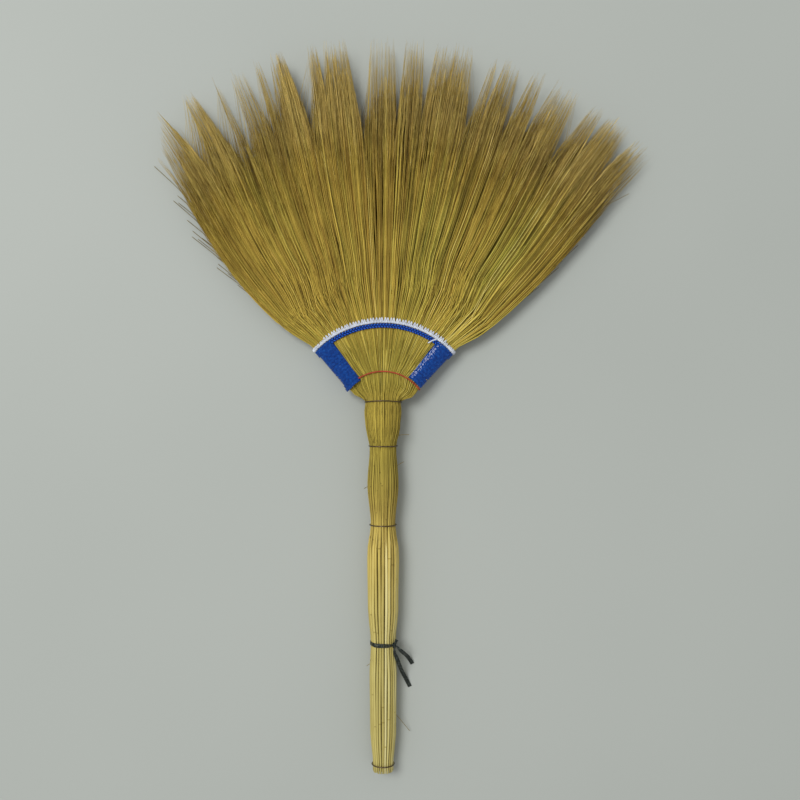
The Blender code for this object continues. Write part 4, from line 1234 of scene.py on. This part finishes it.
# %% Dress the hanks of the core
CORE_FIBRES = (44, 64, 210)
CORE_STRAW = [(0.0, 0.31), (0.30, 0.30), (0.47, 0.22)]
CORE_END, CORE_TAIL = 0.50, 0.05
CORE_SPREAD = 0.66  # six straws stand this far out round the one in the middle
CORE_TURNS = [number * math.pi / 3 for number in range(6)]
CORE_PLACES = [(CORE_SPREAD * math.cos(turn), CORE_SPREAD * math.sin(turn)) for turn in CORE_TURNS]
core_chance = np.random.default_rng(33)
for lane, label in core_lanes():
    bunches = dress_lane(lane, CORE_LAYER, CORE_FIBRES, core_chance)
    straws = []
    for side, out in [*CORE_PLACES, (0.0, 0.0)]:
        straw = grow_straw(lane, side, out, CORE_STRAW, CORE_END, core_chance, CORE_TAIL)
        straws.append(cut_end(straw, core_chance))
    plume = join_tubes("plume_core_" + label, bunches, straws, CORE_GRASS)
    settle(plume, "core_grass", "core_hank_" + label)

# %% [markdown]
# ## The wires
# Four soft iron wires hold the bundle. Each is one length: a ring round the stalks whose ends are twisted
# together underneath. A torus would have no ends, so the whole route is worked out and given a round
# bevel.

# %% Dark iron
def iron_finish():
    finish = Finish("dark iron", (0.08, 0.053, 0.026), 0.4, metallic=0.75)
    rust = finish.noise(700, 3)
    colour = finish.ramp(rust, [
        (0.30, (0.055, 0.035, 0.020)),
        (0.55, (0.110, 0.075, 0.042)),
        (0.75, (0.260, 0.210, 0.150)),
    ])
    return finish.wear(Base_Color=colour, Roughness=rust * 0.4 + 0.2, Normal=finish.bump(rust, 0.0001))


IRON = iron_finish()

# %% Bend the wires
WIRE_RADIUS = 0.0007
TWIST_LENGTH, TWIST_TURNS, TWIST_STEPS = 0.011, 1.5, 24
TWIST_ANGLE = math.radians(228)
RING_STEPS, RING_OPENING = 96, 2.2  # the ring stays open by this many of a twist's radius on each side
NECK_BOW = 0.0016  # how far the neck wire is pushed towards the fan in the middle of the front
BOW_BACK = 0.6  # share of it that the sides and the back go the other way
BITE = 0.00012  # how far a ring sinks in between the stalks


def wire_route(y, bow):
    radius = bundle_radius(y) + GAP + WIRE_RADIUS
    outward = Vector((math.cos(TWIST_ANGLE), 0, math.sin(TWIST_ANGLE)))
    around = Vector((-math.sin(TWIST_ANGLE), 0, math.cos(TWIST_ANGLE)))
    pitch = WIRE_RADIUS + GAP / 2
    lean = -1 if y + TWIST_LENGTH > NECK_WIRE_Y else 1

    def strand(start):
        points = []
        for number in range(TWIST_STEPS + 1):
            share = number / TWIST_STEPS
            angle = start + share * TWIST_TURNS * 2 * math.pi
            offset = around * math.cos(angle) + outward * math.sin(angle)
            seat = y + lean * (2 * WIRE_RADIUS + share * TWIST_LENGTH)
            points.append(handle_surface(seat, TWIST_ANGLE, 2 * (pitch + GAP)) + offset * pitch)
        return points

    opening = RING_OPENING * pitch / radius
    ring = []
    for number in range(RING_STEPS + 1):
        angle = TWIST_ANGLE + opening + number * (2 * math.pi - 2 * opening) / RING_STEPS
        push = bow * (max(math.sin(angle), 0) ** 2 - BOW_BACK)
        bite = BITE * math.sin(angle * OUTER_STALKS)
        ring.append(handle_surface(y, angle, GAP + WIRE_RADIUS - bite) + Vector((0, push, 0)))
    return strand(0.0)[::-1] + ring + strand(math.pi)


WIRES = {"butt": BUTT_WIRE_Y, "middle": MIDDLE_WIRE_Y, "upper": UPPER_WIRE_Y, "neck": NECK_WIRE_Y}
for label, y in WIRES.items():
    route = wire_route(y, NECK_BOW if label == "neck" else 0.0)
    wire = lay_cord(label + "_wire_bent", [route], WIRE_RADIUS, 3, IRON)
    settle(wire, "wire", label + "_wire")

# %% [markdown]
# ## Cords round the fan
# Three cords run round the base of the fan, over the front, round each edge and along the back. They
# share one closed line, which stands a set distance off the grass, and each is made of strands that wind
# about it.

# %% The closed line round the fan, with its directions
FACE_STEPS, FACE_REACH = 26, 0.985  # places on each face, and how far across the last ones lie
EDGE_TURNS = {0.55: 0.0004, 0.0: 0.0012, -0.55: 0.0004}  # shares of an edge's height, and how far off it


def fan_outline(radius, clearance):
    corner = THIN_FROM * 0.5 + 0.5
    loop = []
    for face in (1, -1):
        for number in range(FACE_STEPS + 1):
            across = face * (2 * number / FACE_STEPS - 1) * FACE_REACH
            loop.append(fan_point(across, radius, face * (outline_lift(across, radius) + clearance)))
        end = fan_point(face, radius)
        outward = (end - fan_point(face * corner, radius)).normalized()
        for turn, off in EDGE_TURNS.items():
            lift = (outline_lift(1, radius) + clearance) * turn * face
            loop.append(end + outward * (clearance + off) + Vector((0, 0, lift)))
    return loop


def framed_loop(radius, clearance, step):
    """(point, across, out) at even steps round the fan. across points to the tips, and out off the grass."""
    line = smooth_route(fan_outline(radius, clearance), step, closed=True)
    framed = []
    for number, point in enumerate(line):
        along = (line[(number + 1) % len(line)] - line[number - 1]).normalized()
        across = squared(Vector((point.x, point.y - APEX_Y, 0)).normalized(), along)
        framed.append((point, across, along.cross(across)))
    return framed


def turns_round(framed, pitch):
    """How many whole turns of about this pitch fit in a closed line."""
    return round(sum((framed[n][0] - framed[n - 1][0]).length for n in range(len(framed))) / pitch)


def wound_strands(framed, strands, pitch, offsets):
    """Routes that wind about a closed line. offsets(angle) gives how far across and out a strand is."""
    turns = turns_round(framed, pitch)
    routes = []
    for strand in range(strands):
        route = []
        for number, (point, across, out) in enumerate(framed):
            angle = 2 * math.pi * (turns * number / len(framed) + strand / strands)
            aside, lifted = offsets(angle)
            route.append(point + across * aside + out * lifted)
        routes.append(route)
    return routes


# %% Finishes with fine fibres, for cords and threads
LINT = 1500  # fibres in a metre


def plait_finish():
    """The mesh says how far each point of a strand lies on top and faces up: the rest is painted in shade."""
    finish = Finish("blue cord", (0.004, 0.060, 0.430), 0.5, gloss=0.2)
    lint = finish.noise(LINT, 3)
    light = finish.read("lift") * 0.75 + lint * 0.25
    colour = finish.ramp(light, [
        (0.10, (0.0005, 0.008, 0.080)),
        (0.45, (0.001, 0.040, 0.310)),
        (0.85, (0.020, 0.150, 0.700)),
    ])
    return finish.wear(Base_Color=colour, Roughness=lint * 0.3 + 0.30, Normal=finish.bump(lint, 0.00015))


def thread_finish(name, dark, light, roughness):
    finish = Finish(name, light, roughness, gloss=0.15)
    lint = finish.noise(LINT, 3)
    cloud = finish.noise(120, 2)
    colour = finish.ramp(lint * 0.6 + cloud * 0.4, [(0.30, dark), (0.62, light)])
    rough = lint * 0.3 + (roughness - 0.15)
    return finish.wear(Base_Color=colour, Roughness=rough, Normal=finish.bump(lint, 0.00015))


RED = thread_finish("red cord", (0.28, 0.030, 0.022), (0.56, 0.090, 0.048), 0.65)
BLUE_CORD = plait_finish()
WHITE = thread_finish("white thread", (0.46, 0.51, 0.60), (0.80, 0.84, 0.91), 0.6)

# %% Twist the red cord
RED_CORD_RADIUS, RED_PITCH = 0.0009, 0.0034
RED_PLY, RED_STEP = 0.52, 0.0005  # a ply's radius as a share of the cord's, and the steps of its line
ply = RED_CORD_RADIUS * RED_PLY


def wind_round(angle):
    return ply * math.cos(angle), ply * math.sin(angle)


red_line = framed_loop(RED_RADIUS, GAP + RED_CORD_RADIUS, RED_STEP)
red_routes = wound_strands(red_line, 2, RED_PITCH, wind_round)
red_cord = lay_cord("red_cord_twisted", red_routes, ply, 1, RED, closed=True)
settle(red_cord, "red_cord", "red_neck_cord")

# %% [markdown]
# ## The blue plait
# The seam's blue cord looks like a row of chevrons, which is what a flat plait of three strands gives.
# Each strand swings from side to side once a stitch, and goes over and under twice as often.

# %% Plait the blue band
BLUE_THICKNESS, BLUE_STRANDS = 0.0020, 3
PLAIT_PITCH = 0.0108  # along the band, for one whole swing of a strand
PRESSED = 0.0009  # how far the plait is pressed into the grass under the side bindings
FLATTENED = 0.5  # how much flatter it is there
PRESS_FROM, PRESS_TO = -0.01, 0.03  # in radians, from the binding's inner border
STRAND_SHARE = 0.45  # a strand's radius, as a share of the plait's thickness
STRAND_RISE = 0.80  # how far a strand goes up and down, in its own radii
BLUE_LIFT, BLUE_STEP = 0.62, 0.0006  # how high the plait's line is, in thicknesses, and its steps
band_radius = (BLUE_INNER + BLUE_OUTER) / 2
strand_radius = BLUE_THICKNESS * STRAND_SHARE
swing = (BLUE_OUTER - BLUE_INNER) / 2 - strand_radius - GAP / 2


def press_ends(framed):
    """Presses a closed line onto the grass where the side bindings will cover it."""
    found = []
    for point, across, out in framed:
        angle = math.atan2(point.x, point.y - APEX_Y)
        knee = abs(ray_angle(math.copysign(STRIP_SHARE, angle), band_radius))
        covered = through([(knee + PRESS_FROM, 0.0), (knee + PRESS_TO, 1.0)], abs(angle))
        found.append((point - out * PRESSED * covered, across, out * (1 - FLATTENED * covered)))
    return found


def swing_over(angle):
    return swing * math.sin(angle), strand_radius * STRAND_RISE * math.sin(2 * angle)


blue_line = press_ends(framed_loop(band_radius, GAP + BLUE_THICKNESS * BLUE_LIFT, BLUE_STEP))
blue_routes = wound_strands(blue_line, BLUE_STRANDS, PLAIT_PITCH, swing_over)
blue_band = lay_cord("blue_band_plaited", blue_routes, strand_radius, 2, BLUE_CORD, closed=True)

# %% Write on the plait how far each point lies on top and faces up, for its painted shade
normals = np.empty(3 * len(blue_band.data.vertices), np.float32)
blue_band.data.vertices.foreach_get("normal", normals)
phase = turns_round(blue_line, PLAIT_PITCH) * np.arange(len(blue_line))[None] / len(blue_line)
phase = phase + np.arange(BLUE_STRANDS)[:, None] / BLUE_STRANDS
on_top = np.sin(4 * np.pi * phase).clip(0, 1).reshape(-1)
on_top = np.repeat(on_top, len(normals) // 3 // len(on_top))
lift = blue_band.data.attributes.new("lift", "FLOAT", "POINT")
lift.data.foreach_set("value", (on_top * np.abs(normals[2::3])).astype(np.float32))
settle(blue_band, "blue_strap", "blue_seam_band")

# %% [markdown]
# ## The white edging
# A white cord lies along the plait, and blanket stitches hold it: each loop comes from under the cord,
# goes over it and runs out into the grass to a point, like a tooth. The loop is modelled once, in a flat
# place, and copied to every stitch. Near both ends of the seam the cord is plain.

# %% The cord under the stitches
WHITE_PITCH, WHITE_STEP = 0.0090, 0.0010  # of the cord's two plies, and of its line
# In radii of the cord: how high its line is, the radius of a ply, and how far a ply is moved in, swings
# across and swings up
WHITE_LIFT, WHITE_PLY, PLY_IN, PLY_ACROSS, PLY_UP = 0.8, 0.85, 0.55, 0.7, 0.35
white_width = WHITE_OUTER - BLUE_OUTER
white_radius = (BLUE_OUTER + WHITE_OUTER) / 2
core_radius = white_width / 4 - GAP / 4


def white_offsets(angle):
    return core_radius * (PLY_ACROSS * math.cos(angle) - PLY_IN), core_radius * PLY_UP * math.sin(angle)


white_line = framed_loop(white_radius, GAP + core_radius * WHITE_LIFT, WHITE_STEP)
white_routes = wound_strands(white_line, 2, WHITE_PITCH, white_offsets)
white_cord = lay_cord("white_cord", white_routes, core_radius * WHITE_PLY, 2, WHITE, closed=True)
print("white cord:", len(white_cord.data.polygons), "faces")

# %% One blanket stitch, and a copy of it at every place of the seam
THREAD_RADIUS = 0.00052
TOOTH_PITCH, TOOTH_HEIGHT, TOOTH_REACH, TOOTH_SWAY = 0.0036, 0.0034, (0.66, 0.92), 0.0003
PLAIN_STITCHES = 4  # at each end of the seam
BAND_END = 0.9  # how far across half the band a loop goes before its tooth
LOWEST_THREAD = 0.6  # how far below the cord's line a thread may lie, in radii of the cord
half_band, top = white_width / 2, core_radius * 1.9
# Places along the seam, across it and up, and how thick the thread is there
HALF_STITCH = [
    (0.00150, -half_band, 0.0, 0.8),
    (0.00130, -half_band * 0.75, top * 0.75, 1.0),
    (0.00105, -half_band * 0.1, top * 1.08, 1.15),
    (0.00080, half_band * 0.65, top * 0.90, 1.3),
    (0.00070, half_band + TOOTH_HEIGHT * 0.20, top * 0.40, 1.3),
    (0.00032, half_band + TOOTH_HEIGHT * 0.70, top * 0.24, 1.05),
    (0.0, half_band + TOOTH_HEIGHT, top * 0.18, 0.75),
]
STITCH = [(-aside, *rest) for aside, *rest in HALF_STITCH] + HALF_STITCH[-2::-1]


def seat_stitches(line, chance):
    """Routes of all stitches: each is the one loop above, turned to the seam's own directions there."""
    places = np.array([list(point) for point, _, _ in line])
    steps = np.linalg.norm(np.diff(np.vstack([places, places[:1]]), axis=0), axis=1)
    travelled = np.concatenate([[0], np.cumsum(steps)[:-1]])
    total = float(steps.sum())
    stitches = round(total / TOOTH_PITCH)
    plain = PLAIN_STITCHES * TOOTH_PITCH / white_radius
    routes = []
    for number in range(stitches):
        spot = int(np.searchsorted(travelled, (number + 0.5) * total / stitches)) % len(line)
        point, across, out = line[spot]
        along = across.cross(out)
        angle = abs(math.atan2(point.x, point.y - APEX_Y))
        bare = angle > edge_angle(math.copysign(1, point.x), white_radius) - plain
        reach = 0.0 if bare else chance.uniform(*TOOTH_REACH)
        sway = chance.uniform(-TOOTH_SWAY, TOOTH_SWAY)
        route = []
        for aside, up, lifted, _ in STITCH:
            tooth = max(up - half_band, 0)
            aside_by = aside + sway * tooth / TOOTH_HEIGHT
            across_by = min(up, half_band * BAND_END) + tooth * reach
            height = max(lifted - core_radius * WHITE_LIFT, -core_radius * LOWEST_THREAD)
            route.append(point + along * aside_by + across * across_by + out * height)
        routes.append(route)
    return routes


stitch_routes = seat_stitches(white_line, np.random.default_rng(3))
girths = [girth for _, _, _, girth in STITCH]
stitches = lay_cord("white_stitches", stitch_routes, THREAD_RADIUS, 1, WHITE, girths=girths)
pick(white_cord, stitches)
bpy.ops.object.join()
white_cord.name = "white_edging_stitched"
settle(white_cord, "white_thread", "white_seam_edging")

# %% The loose end of the white thread
END_LENGTH, END_STEPS = 0.0110, 44
# The length of one turn, how far a ply is off the middle, and its radius
END_PITCH, END_PLY_OFF, END_PLY = 0.0022, 0.00045, 0.00042
END_BEND, END_BENDS = 0.0006, 5  # how far it swings to the side, and how fast
across = STRIP_SHARE - 0.03  # just inside the right binding
lift = GAP * 2 + BLUE_THICKNESS * 1.3 + THREAD_RADIUS
thread_top = fan_point(across, BLUE_OUTER, outline_lift(across, BLUE_OUTER) + lift)
thread_low = fan_point(across - 0.05, BLUE_INNER - 0.002, outline_lift(across, BLUE_INNER) + lift)
run = (thread_low - thread_top).normalized()
sideways = run.cross(Vector((0, 0, 1)))
routes = [[], [], []]
for number in range(END_STEPS + 1):
    share = number / END_STEPS
    place = thread_top + run * END_LENGTH * share + sideways * END_BEND * math.sin(share * END_BENDS) * share
    for strand, route in enumerate(routes):
        angle = 2 * math.pi * (share * END_LENGTH / END_PITCH + strand / 3)
        route.append(place + (sideways * math.cos(angle) + Vector((0, 0, 1)) * math.sin(angle)) * END_PLY_OFF)
thread_end = lay_cord("white_thread_end_twisted", routes, END_PLY, 1, WHITE)
settle(thread_end, "white_thread", "white_thread_end")

# %% [markdown]
# ## The blue side bindings
# A flat plastic strap is wound round each edge of the fan. Each turn overlaps the next a little, like a
# tile on a roof, so no grass shows between them. The plastic is glossy and full of small dents, which
# catch the light in white spots. A turn lies straight across the front and moves on by its own width at
# the back, which is where such a winding is pulled along. The last turns go up over the ends of the
# plait, and the left winding also covers the end of the red cord.

# %% Glossy blue plastic
def blue_strap_finish():
    finish = Finish("blue strap", (0.005, 0.04, 0.30), 0.3, gloss=0.26)
    scratches, dents = finish.noise(420, 3), finish.noise(300, 1)
    colour = finish.ramp(scratches, [
        (0.30, (0.001, 0.022, 0.150)),
        (0.55, (0.002, 0.048, 0.260)),
        (0.78, (0.010, 0.095, 0.380)),
    ])
    rough = scratches * 0.12 + 0.02
    return finish.wear(Base_Color=colour, Roughness=rough, Normal=finish.bump(dents, 0.0005))


BLUE = blue_strap_finish()

# %% The places that one turn passes
WINDING_THICKNESS = 0.0008
OVER_PLAIT, OVER_RED, RED_SPREAD = 0.0016, 0.0024, 0.0034
PLAIT_FROM, PLAIT_TO = BLUE_INNER - 0.0040, BLUE_INNER + 0.0010  # between these radii it climbs the plait
BINDING_CROWN = 0.0010  # how much higher the middle of a turn is
OFF_EDGE = 0.0009  # how much further off the fan's edge a turn stays
BENDS = (STRIP_SHARE, STRIP_SHARE + 0.035, 0.79, 0.87, 0.975, 1.0)  # across the fan
CREST_COLUMN = 2.5  # a turn is as high as the grass this many columns in from the edge
FIRST_HEIGHT, FALL_HEIGHT = 0.80, 0.85  # at the first bend, of that height, and at the fourth, of the crown


def cover_height(side, radius):
    """How much further out the strap goes where it passes over a cord."""
    over = OVER_PLAIT * through([(PLAIT_FROM, 0.0), (PLAIT_TO, 1.0)], radius)
    return over + (OVER_RED * math.exp(-(((radius - RED_RADIUS) / RED_SPREAD) ** 2)) if side < 0 else 0)


def strip_corners(side, share):
    """The loop round one bound edge of the fan, at a share of the way from the red cord to the blue band."""
    radius = RED_RADIUS + (BLUE_INNER - RED_RADIUS) * share
    stand_off = GAP + WINDING_THICKNESS / 2 + cover_height(side, radius)

    def between(across, lift_at=None):
        ends = [fan_point(side * across, radius) for radius in (RED_RADIUS, BLUE_INNER)]
        point = ends[0].lerp(ends[1], share)
        if lift_at:
            low, high = lift_at(RED_RADIUS), lift_at(BLUE_INNER)
            point.z += low + (high - low) * share
        return point

    def crest(radius):
        return outline_lift(1 - CREST_COLUMN / COLUMNS, radius)

    first, shoulder, rise, fall, brink, last = BENDS
    outward = (between(last) - between(first)).normalized()
    up = Vector((0, 0, stand_off))
    run = [
        between(first, lambda radius: crest(radius) * FIRST_HEIGHT),
        between(shoulder, crest) + up,
        between(rise, crest) + up + Vector((0, 0, BINDING_CROWN)),
        between(fall, crest) + up + Vector((0, 0, BINDING_CROWN * FALL_HEIGHT)),
        between(brink, lambda radius: outline_lift(1, radius)) + up,
        between(last, lambda radius: layer_lift(1 - 1 / COLUMNS, radius)) + outward * (stand_off + OFF_EDGE),
    ]
    middle = [between(across) for across in BENDS]
    under = [Vector((point.x, point.y, 2 * line.z - point.z)) for point, line in zip(run, middle)]
    return run + under[::-1]


# %% Wind the two edges
WINDING_END = BLUE_OUTER - 0.0004
WINDING_STARTS = {-1: (RED_RADIUS - 0.0034, 15), 1: (RED_RADIUS + 0.0018, 14)}  # radius and number of turns
WINDING_STEP, WINDING_SHIFT = 0.0009, 0.06  # between places, and how uneven the turns are, in shares of one
OVERLAP, WIDTH_CHANGE = 1.06, 0.02  # width of the strap in turns
TILT, TILT_CHANGE = 0.18, 0.03  # how steeply each turn rises to its side that overlaps the next one
WIDTH_RATES, TILT_RATE = (0.21, 0.47), 0.13  # of the waves in both, in radians for each point of the route


def binding_route(side, chance):
    per_turn = len(strip_corners(side, 0.0))
    front = per_turn // 2
    first, turns = WINDING_STARTS[side]
    pitch = (WINDING_END - first) / turns
    corners = []
    for number in range((turns - 1) * per_turn + front):
        turn, corner = divmod(number, per_turn)
        if corner == 0:
            shift = chance.uniform(-WINDING_SHIFT, WINDING_SHIFT) * pitch
        advance = max(corner - front + 1, 0) / (per_turn - front + 1)
        radius = first + pitch * (0.5 + turn + advance) + shift * (1 - advance)
        corners.append(strip_corners(side, (radius - RED_RADIUS) / (BLUE_INNER - RED_RADIUS))[corner])
    return smooth_route(corners, WINDING_STEP), pitch


def ripple(middle, waves, number):
    """A size that wavers along the strap. waves lists the size, the rate and the phase of each wave."""
    return middle + sum(size * math.sin(number * rate + phase) for size, rate, phase in waves)


for side, node in ((-1, "left_side_binding"), (1, "right_side_binding")):
    chance = np.random.default_rng(40 + side)
    route, pitch = binding_route(side, chance)
    phases = chance.uniform(*ANY_PHASE, 3)
    width_waves = [(WIDTH_CHANGE, rate, phase) for rate, phase in zip(WIDTH_RATES, phases)]
    tilt_waves = [(TILT_CHANGE, TILT_RATE, phases[2])]
    widths = [pitch * ripple(OVERLAP, width_waves, number) for number in range(len(route))]
    edge = (fan_point(side, BLUE_INNER) - fan_point(side, RED_RADIUS)).normalized()

    def facing(number, along, edge=edge, waves=tilt_waves):
        return edge + Vector((0, 0, ripple(TILT, waves, number)))

    binding = sweep_strap(node + "_wound", route, widths, WINDING_THICKNESS, facing, BLUE)
    settle(binding, "blue_strap", node)

# %% [markdown]
# ## The tie
# The black strap goes once round the grip and ends in an overhand knot. That knot is a trefoil, a closed
# line with a simple formula, pulled flat to the size of the real one. A small corner of the strap sticks
# up from it.

# %% The band round the grip
TIE_WIDTH, TIE_THICKNESS = 0.0056, 0.0009
BAND_STEPS = 96
BAND_WANDER = [(0.0003, 2), (0.0002, 5)]  # how far up and down the broom, and how often round the grip
MEAN_WIDTH, WIDTH_WAVE = 0.90, 0.06  # shares of the strap's width
PULLED_IN, NEAR_KNOT = 0.35, 0.35  # how much narrower it is at the knot, and within how many radians
tie_chance = np.random.default_rng(8)
waves = tie_chance.uniform(*ANY_PHASE, 4)
band_route, band_widths = [], []
for number in range(BAND_STEPS):
    angle = 2 * math.pi * number / BAND_STEPS
    near_knot = math.exp(-(((angle - KNOT_ANGLE) / NEAR_KNOT) ** 2))
    wander = sum(size * math.sin(angle * often + phase) for (size, often), phase in zip(BAND_WANDER, waves))
    band_route.append(handle_surface(TIE_Y + wander, angle, GAP + TIE_THICKNESS / 2))
    wave = WIDTH_WAVE * math.sin(angle * 3 + waves[2])
    band_widths.append(TIE_WIDTH * (MEAN_WIDTH + wave - PULLED_IN * near_knot))


def up_the_broom(number, along):
    return Vector((0, 1, 0))


band = sweep_strap("tie_band", band_route, band_widths, TIE_THICKNESS, up_the_broom, BLACK, closed=True)

# %% The knot, and the corner that sticks up from it
KNOT_LENGTH, KNOT_STEPS = 0.0085, 72
KNOT_STRAP_WIDTH, KNOT_STRAP_THICKNESS = 0.0027, 0.0011
EAR_WIDTHS, EAR_STEP = (0.0034, 0.0044), 0.0006
EAR_PLACES = [(0, 0, 0.0002), (0.0012, 0.0028, 0.0008), (0.0032, 0.0062, 0.0012)]  # round, up and out
knot_centre = handle_surface(TIE_Y, KNOT_ANGLE, KNOT_THICKNESS / 2 + GAP + TIE_THICKNESS * 0.5)
knot_out = Vector((math.cos(KNOT_ANGLE), 0, math.sin(KNOT_ANGLE)))
knot_round = Vector((math.sin(KNOT_ANGLE), 0, -math.cos(KNOT_ANGLE)))
knot_up = Vector((0, 1, 0))
knot_route = []
for number in range(KNOT_STEPS):
    t = 2 * math.pi * number / KNOT_STEPS
    a, b, c = math.sin(t) + 2 * math.sin(2 * t), math.cos(t) - 2 * math.cos(2 * t), -math.sin(3 * t)
    place = knot_centre + knot_round * a * KNOT_LENGTH * 0.125 + knot_up * b * KNOT_WIDTH * 0.125
    knot_route.append(place + knot_out * c * KNOT_THICKNESS * 0.24)


def round_the_knot(number, along):
    return knot_out.cross(along)


def out_and_round(number, along):
    return knot_round + knot_out * 0.5


widths = [KNOT_STRAP_WIDTH] * KNOT_STEPS
knot = sweep_strap("tie_knot", knot_route, widths, KNOT_STRAP_THICKNESS, round_the_knot, BLACK, closed=True)
ear_points = [knot_centre + knot_round * a + knot_up * b + knot_out * c for a, b, c in EAR_PLACES]
ear_route = smooth_route(ear_points, EAR_STEP)
widths = list(np.linspace(*EAR_WIDTHS, len(ear_route)))
ear = sweep_strap("tie_ear", ear_route, widths, TAIL_THICKNESS, out_and_round, BLACK)
pick(band, knot, ear)
bpy.ops.object.join()
band.name = "tie_strap_knotted"
settle(band, "black_strap", "tie_strap")

# %% [markdown]
# ## Stray straws
# A few thin straws have worked loose and stick out at the sides, and some long hairs left the fan's edge.
# Each is a slack line from inside the grass to a place beside it, a little lower down.

# %% Lay the stray straws
STRAY_RADIUS = 0.00035
# (y on the handle, side, how far out, how far up or down the broom, how far down to the floor)
HANDLE_STRAYS = [
    (0.423, 1, 0.013, 0.001, 0.004), (0.384, 1, 0.008, 0.006, 0.003), (0.359, -1, 0.004, -0.003, 0.002),
    (0.136, -1, 0.004, -0.004, 0.003), (0.073, 1, 0.017, -0.027, 0.013),
]
# (side, radius where it leaves the fan, length, degrees that it is turned away from the ray there)
FAN_STRAYS = [
    (-1, 0.285, 0.070, 2.5), (-1, 0.300, 0.085, 1.2), (-1, 0.318, 0.060, 4.0), (-1, 0.330, 0.055, 2.0),
    (-1, 0.250, 0.050, 3.5), (1, 0.375, 0.050, 18.0), (1, 0.335, 0.013, 60.0), (1, 0.400, 0.040, 5.0),
]
MORE_STRAYS, STRAY_RANGES = 16, [(0.17, 0.36), (0.04, 0.10), (0.3, 3.0)]  # the same three numbers, by chance
ROOT_DEPTH, STRAY_SLACK = 0.002, Vector((0, 0.0006, 0.0010))
STRAY_STEP, HAIR_STEP = 0.002, 0.004  # of the lines at the handle, and at the fan
HAIR_ROOT = 0.97  # where across the fan a hair begins
HAIR_DROP, HAIR_SLACK = 0.2, 0.02  # how far it goes down, and how slack it is, for its length
OFF_FLOOR = 0.001

stray_chance = np.random.default_rng(17)
for number in range(MORE_STRAYS):
    side = 1 if number % 4 == 3 else -1  # one in four is on the right
    FAN_STRAYS.append((side, *(stray_chance.uniform(low, high) for low, high in STRAY_RANGES)))


def stray_routes():
    for y, side, out, run, drop in HANDLE_STRAYS:
        root = handle_surface(y, 0.0 if side > 0 else math.pi, -ROOT_DEPTH)
        tip = Vector((root.x + side * (out + ROOT_DEPTH), y + run, root.z - drop))
        yield smooth_route([root, root.lerp(tip, 0.5) + STRAY_SLACK, tip], STRAY_STEP)
    for side, radius, length, turned in FAN_STRAYS:
        root = fan_point(side * HAIR_ROOT, radius)
        angle = edge_angle(side, radius) * side + math.radians(turned) * side
        heading = Vector((math.sin(angle), math.cos(angle), 0))
        tip = root + heading * length
        tip.z = max(root.z - length * HAIR_DROP, STRAY_RADIUS + OFF_FLOOR)
        slack = Vector((heading.y, -heading.x, 0)) * length * HAIR_SLACK
        yield smooth_route([root, root.lerp(tip, 0.5) + slack, tip], HAIR_STEP)


STRAY_FINISH = thread_finish("stray straw", (0.130, 0.095, 0.035), (0.330, 0.260, 0.110), 0.6)
strays = lay_cord("stray_straws", list(stray_routes()), STRAY_RADIUS, 0, STRAY_FINISH)
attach(strays, "root")
print("stray straws:", len(HANDLE_STRAYS) + len(FAN_STRAYS))

# %% [markdown]
# ## Floor and light
# A plain pale floor carries the broom's soft shadow. One large lamp stands to the left, high up, and the
# sky fills in the rest, both at a level at which a colour comes out about as it is written.

# %% The floor
def floor_finish():
    finish = Finish("floor", (0.414, 0.437, 0.408), 0.6, gloss=0.3)
    cloud = finish.noise(1.6, 2)
    colour = finish.ramp(cloud, [(0.35, (0.404, 0.430, 0.399)), (0.65, (0.421, 0.447, 0.415))])
    return finish.wear(Base_Color=colour)


bpy.ops.object.select_all(action="DESELECT")
bpy.ops.mesh.primitive_plane_add(size=12, location=(0, 0, 0))
floor = bpy.context.object
floor.name = "floor"
floor.data.materials.append(floor_finish())

# %% Lamp and sky
LAMP_PLACE, LAMP_SIZE, LAMP_POWER, SKY_STRENGTH = Vector((-2.5, 1.8, 5.6)), 2.7, 252, 0.52
bpy.ops.object.light_add(type="AREA", location=LAMP_PLACE)
lamp = bpy.context.object
lamp.name = "lamp"
lamp.data.size = LAMP_SIZE
lamp.data.energy = LAMP_POWER
lamp.rotation_mode = "QUATERNION"
lamp.rotation_quaternion = (-LAMP_PLACE).to_track_quat("-Z", "Y")
world = bpy.data.worlds.new("sky")
world.use_nodes = True
sky = world.node_tree.nodes["Background"]
sky.inputs["Color"].default_value = (1, 1, 1, 1)
sky.inputs["Strength"].default_value = SKY_STRENGTH
bpy.context.scene.world = world
bpy.context.scene.view_settings.view_transform = "Standard"
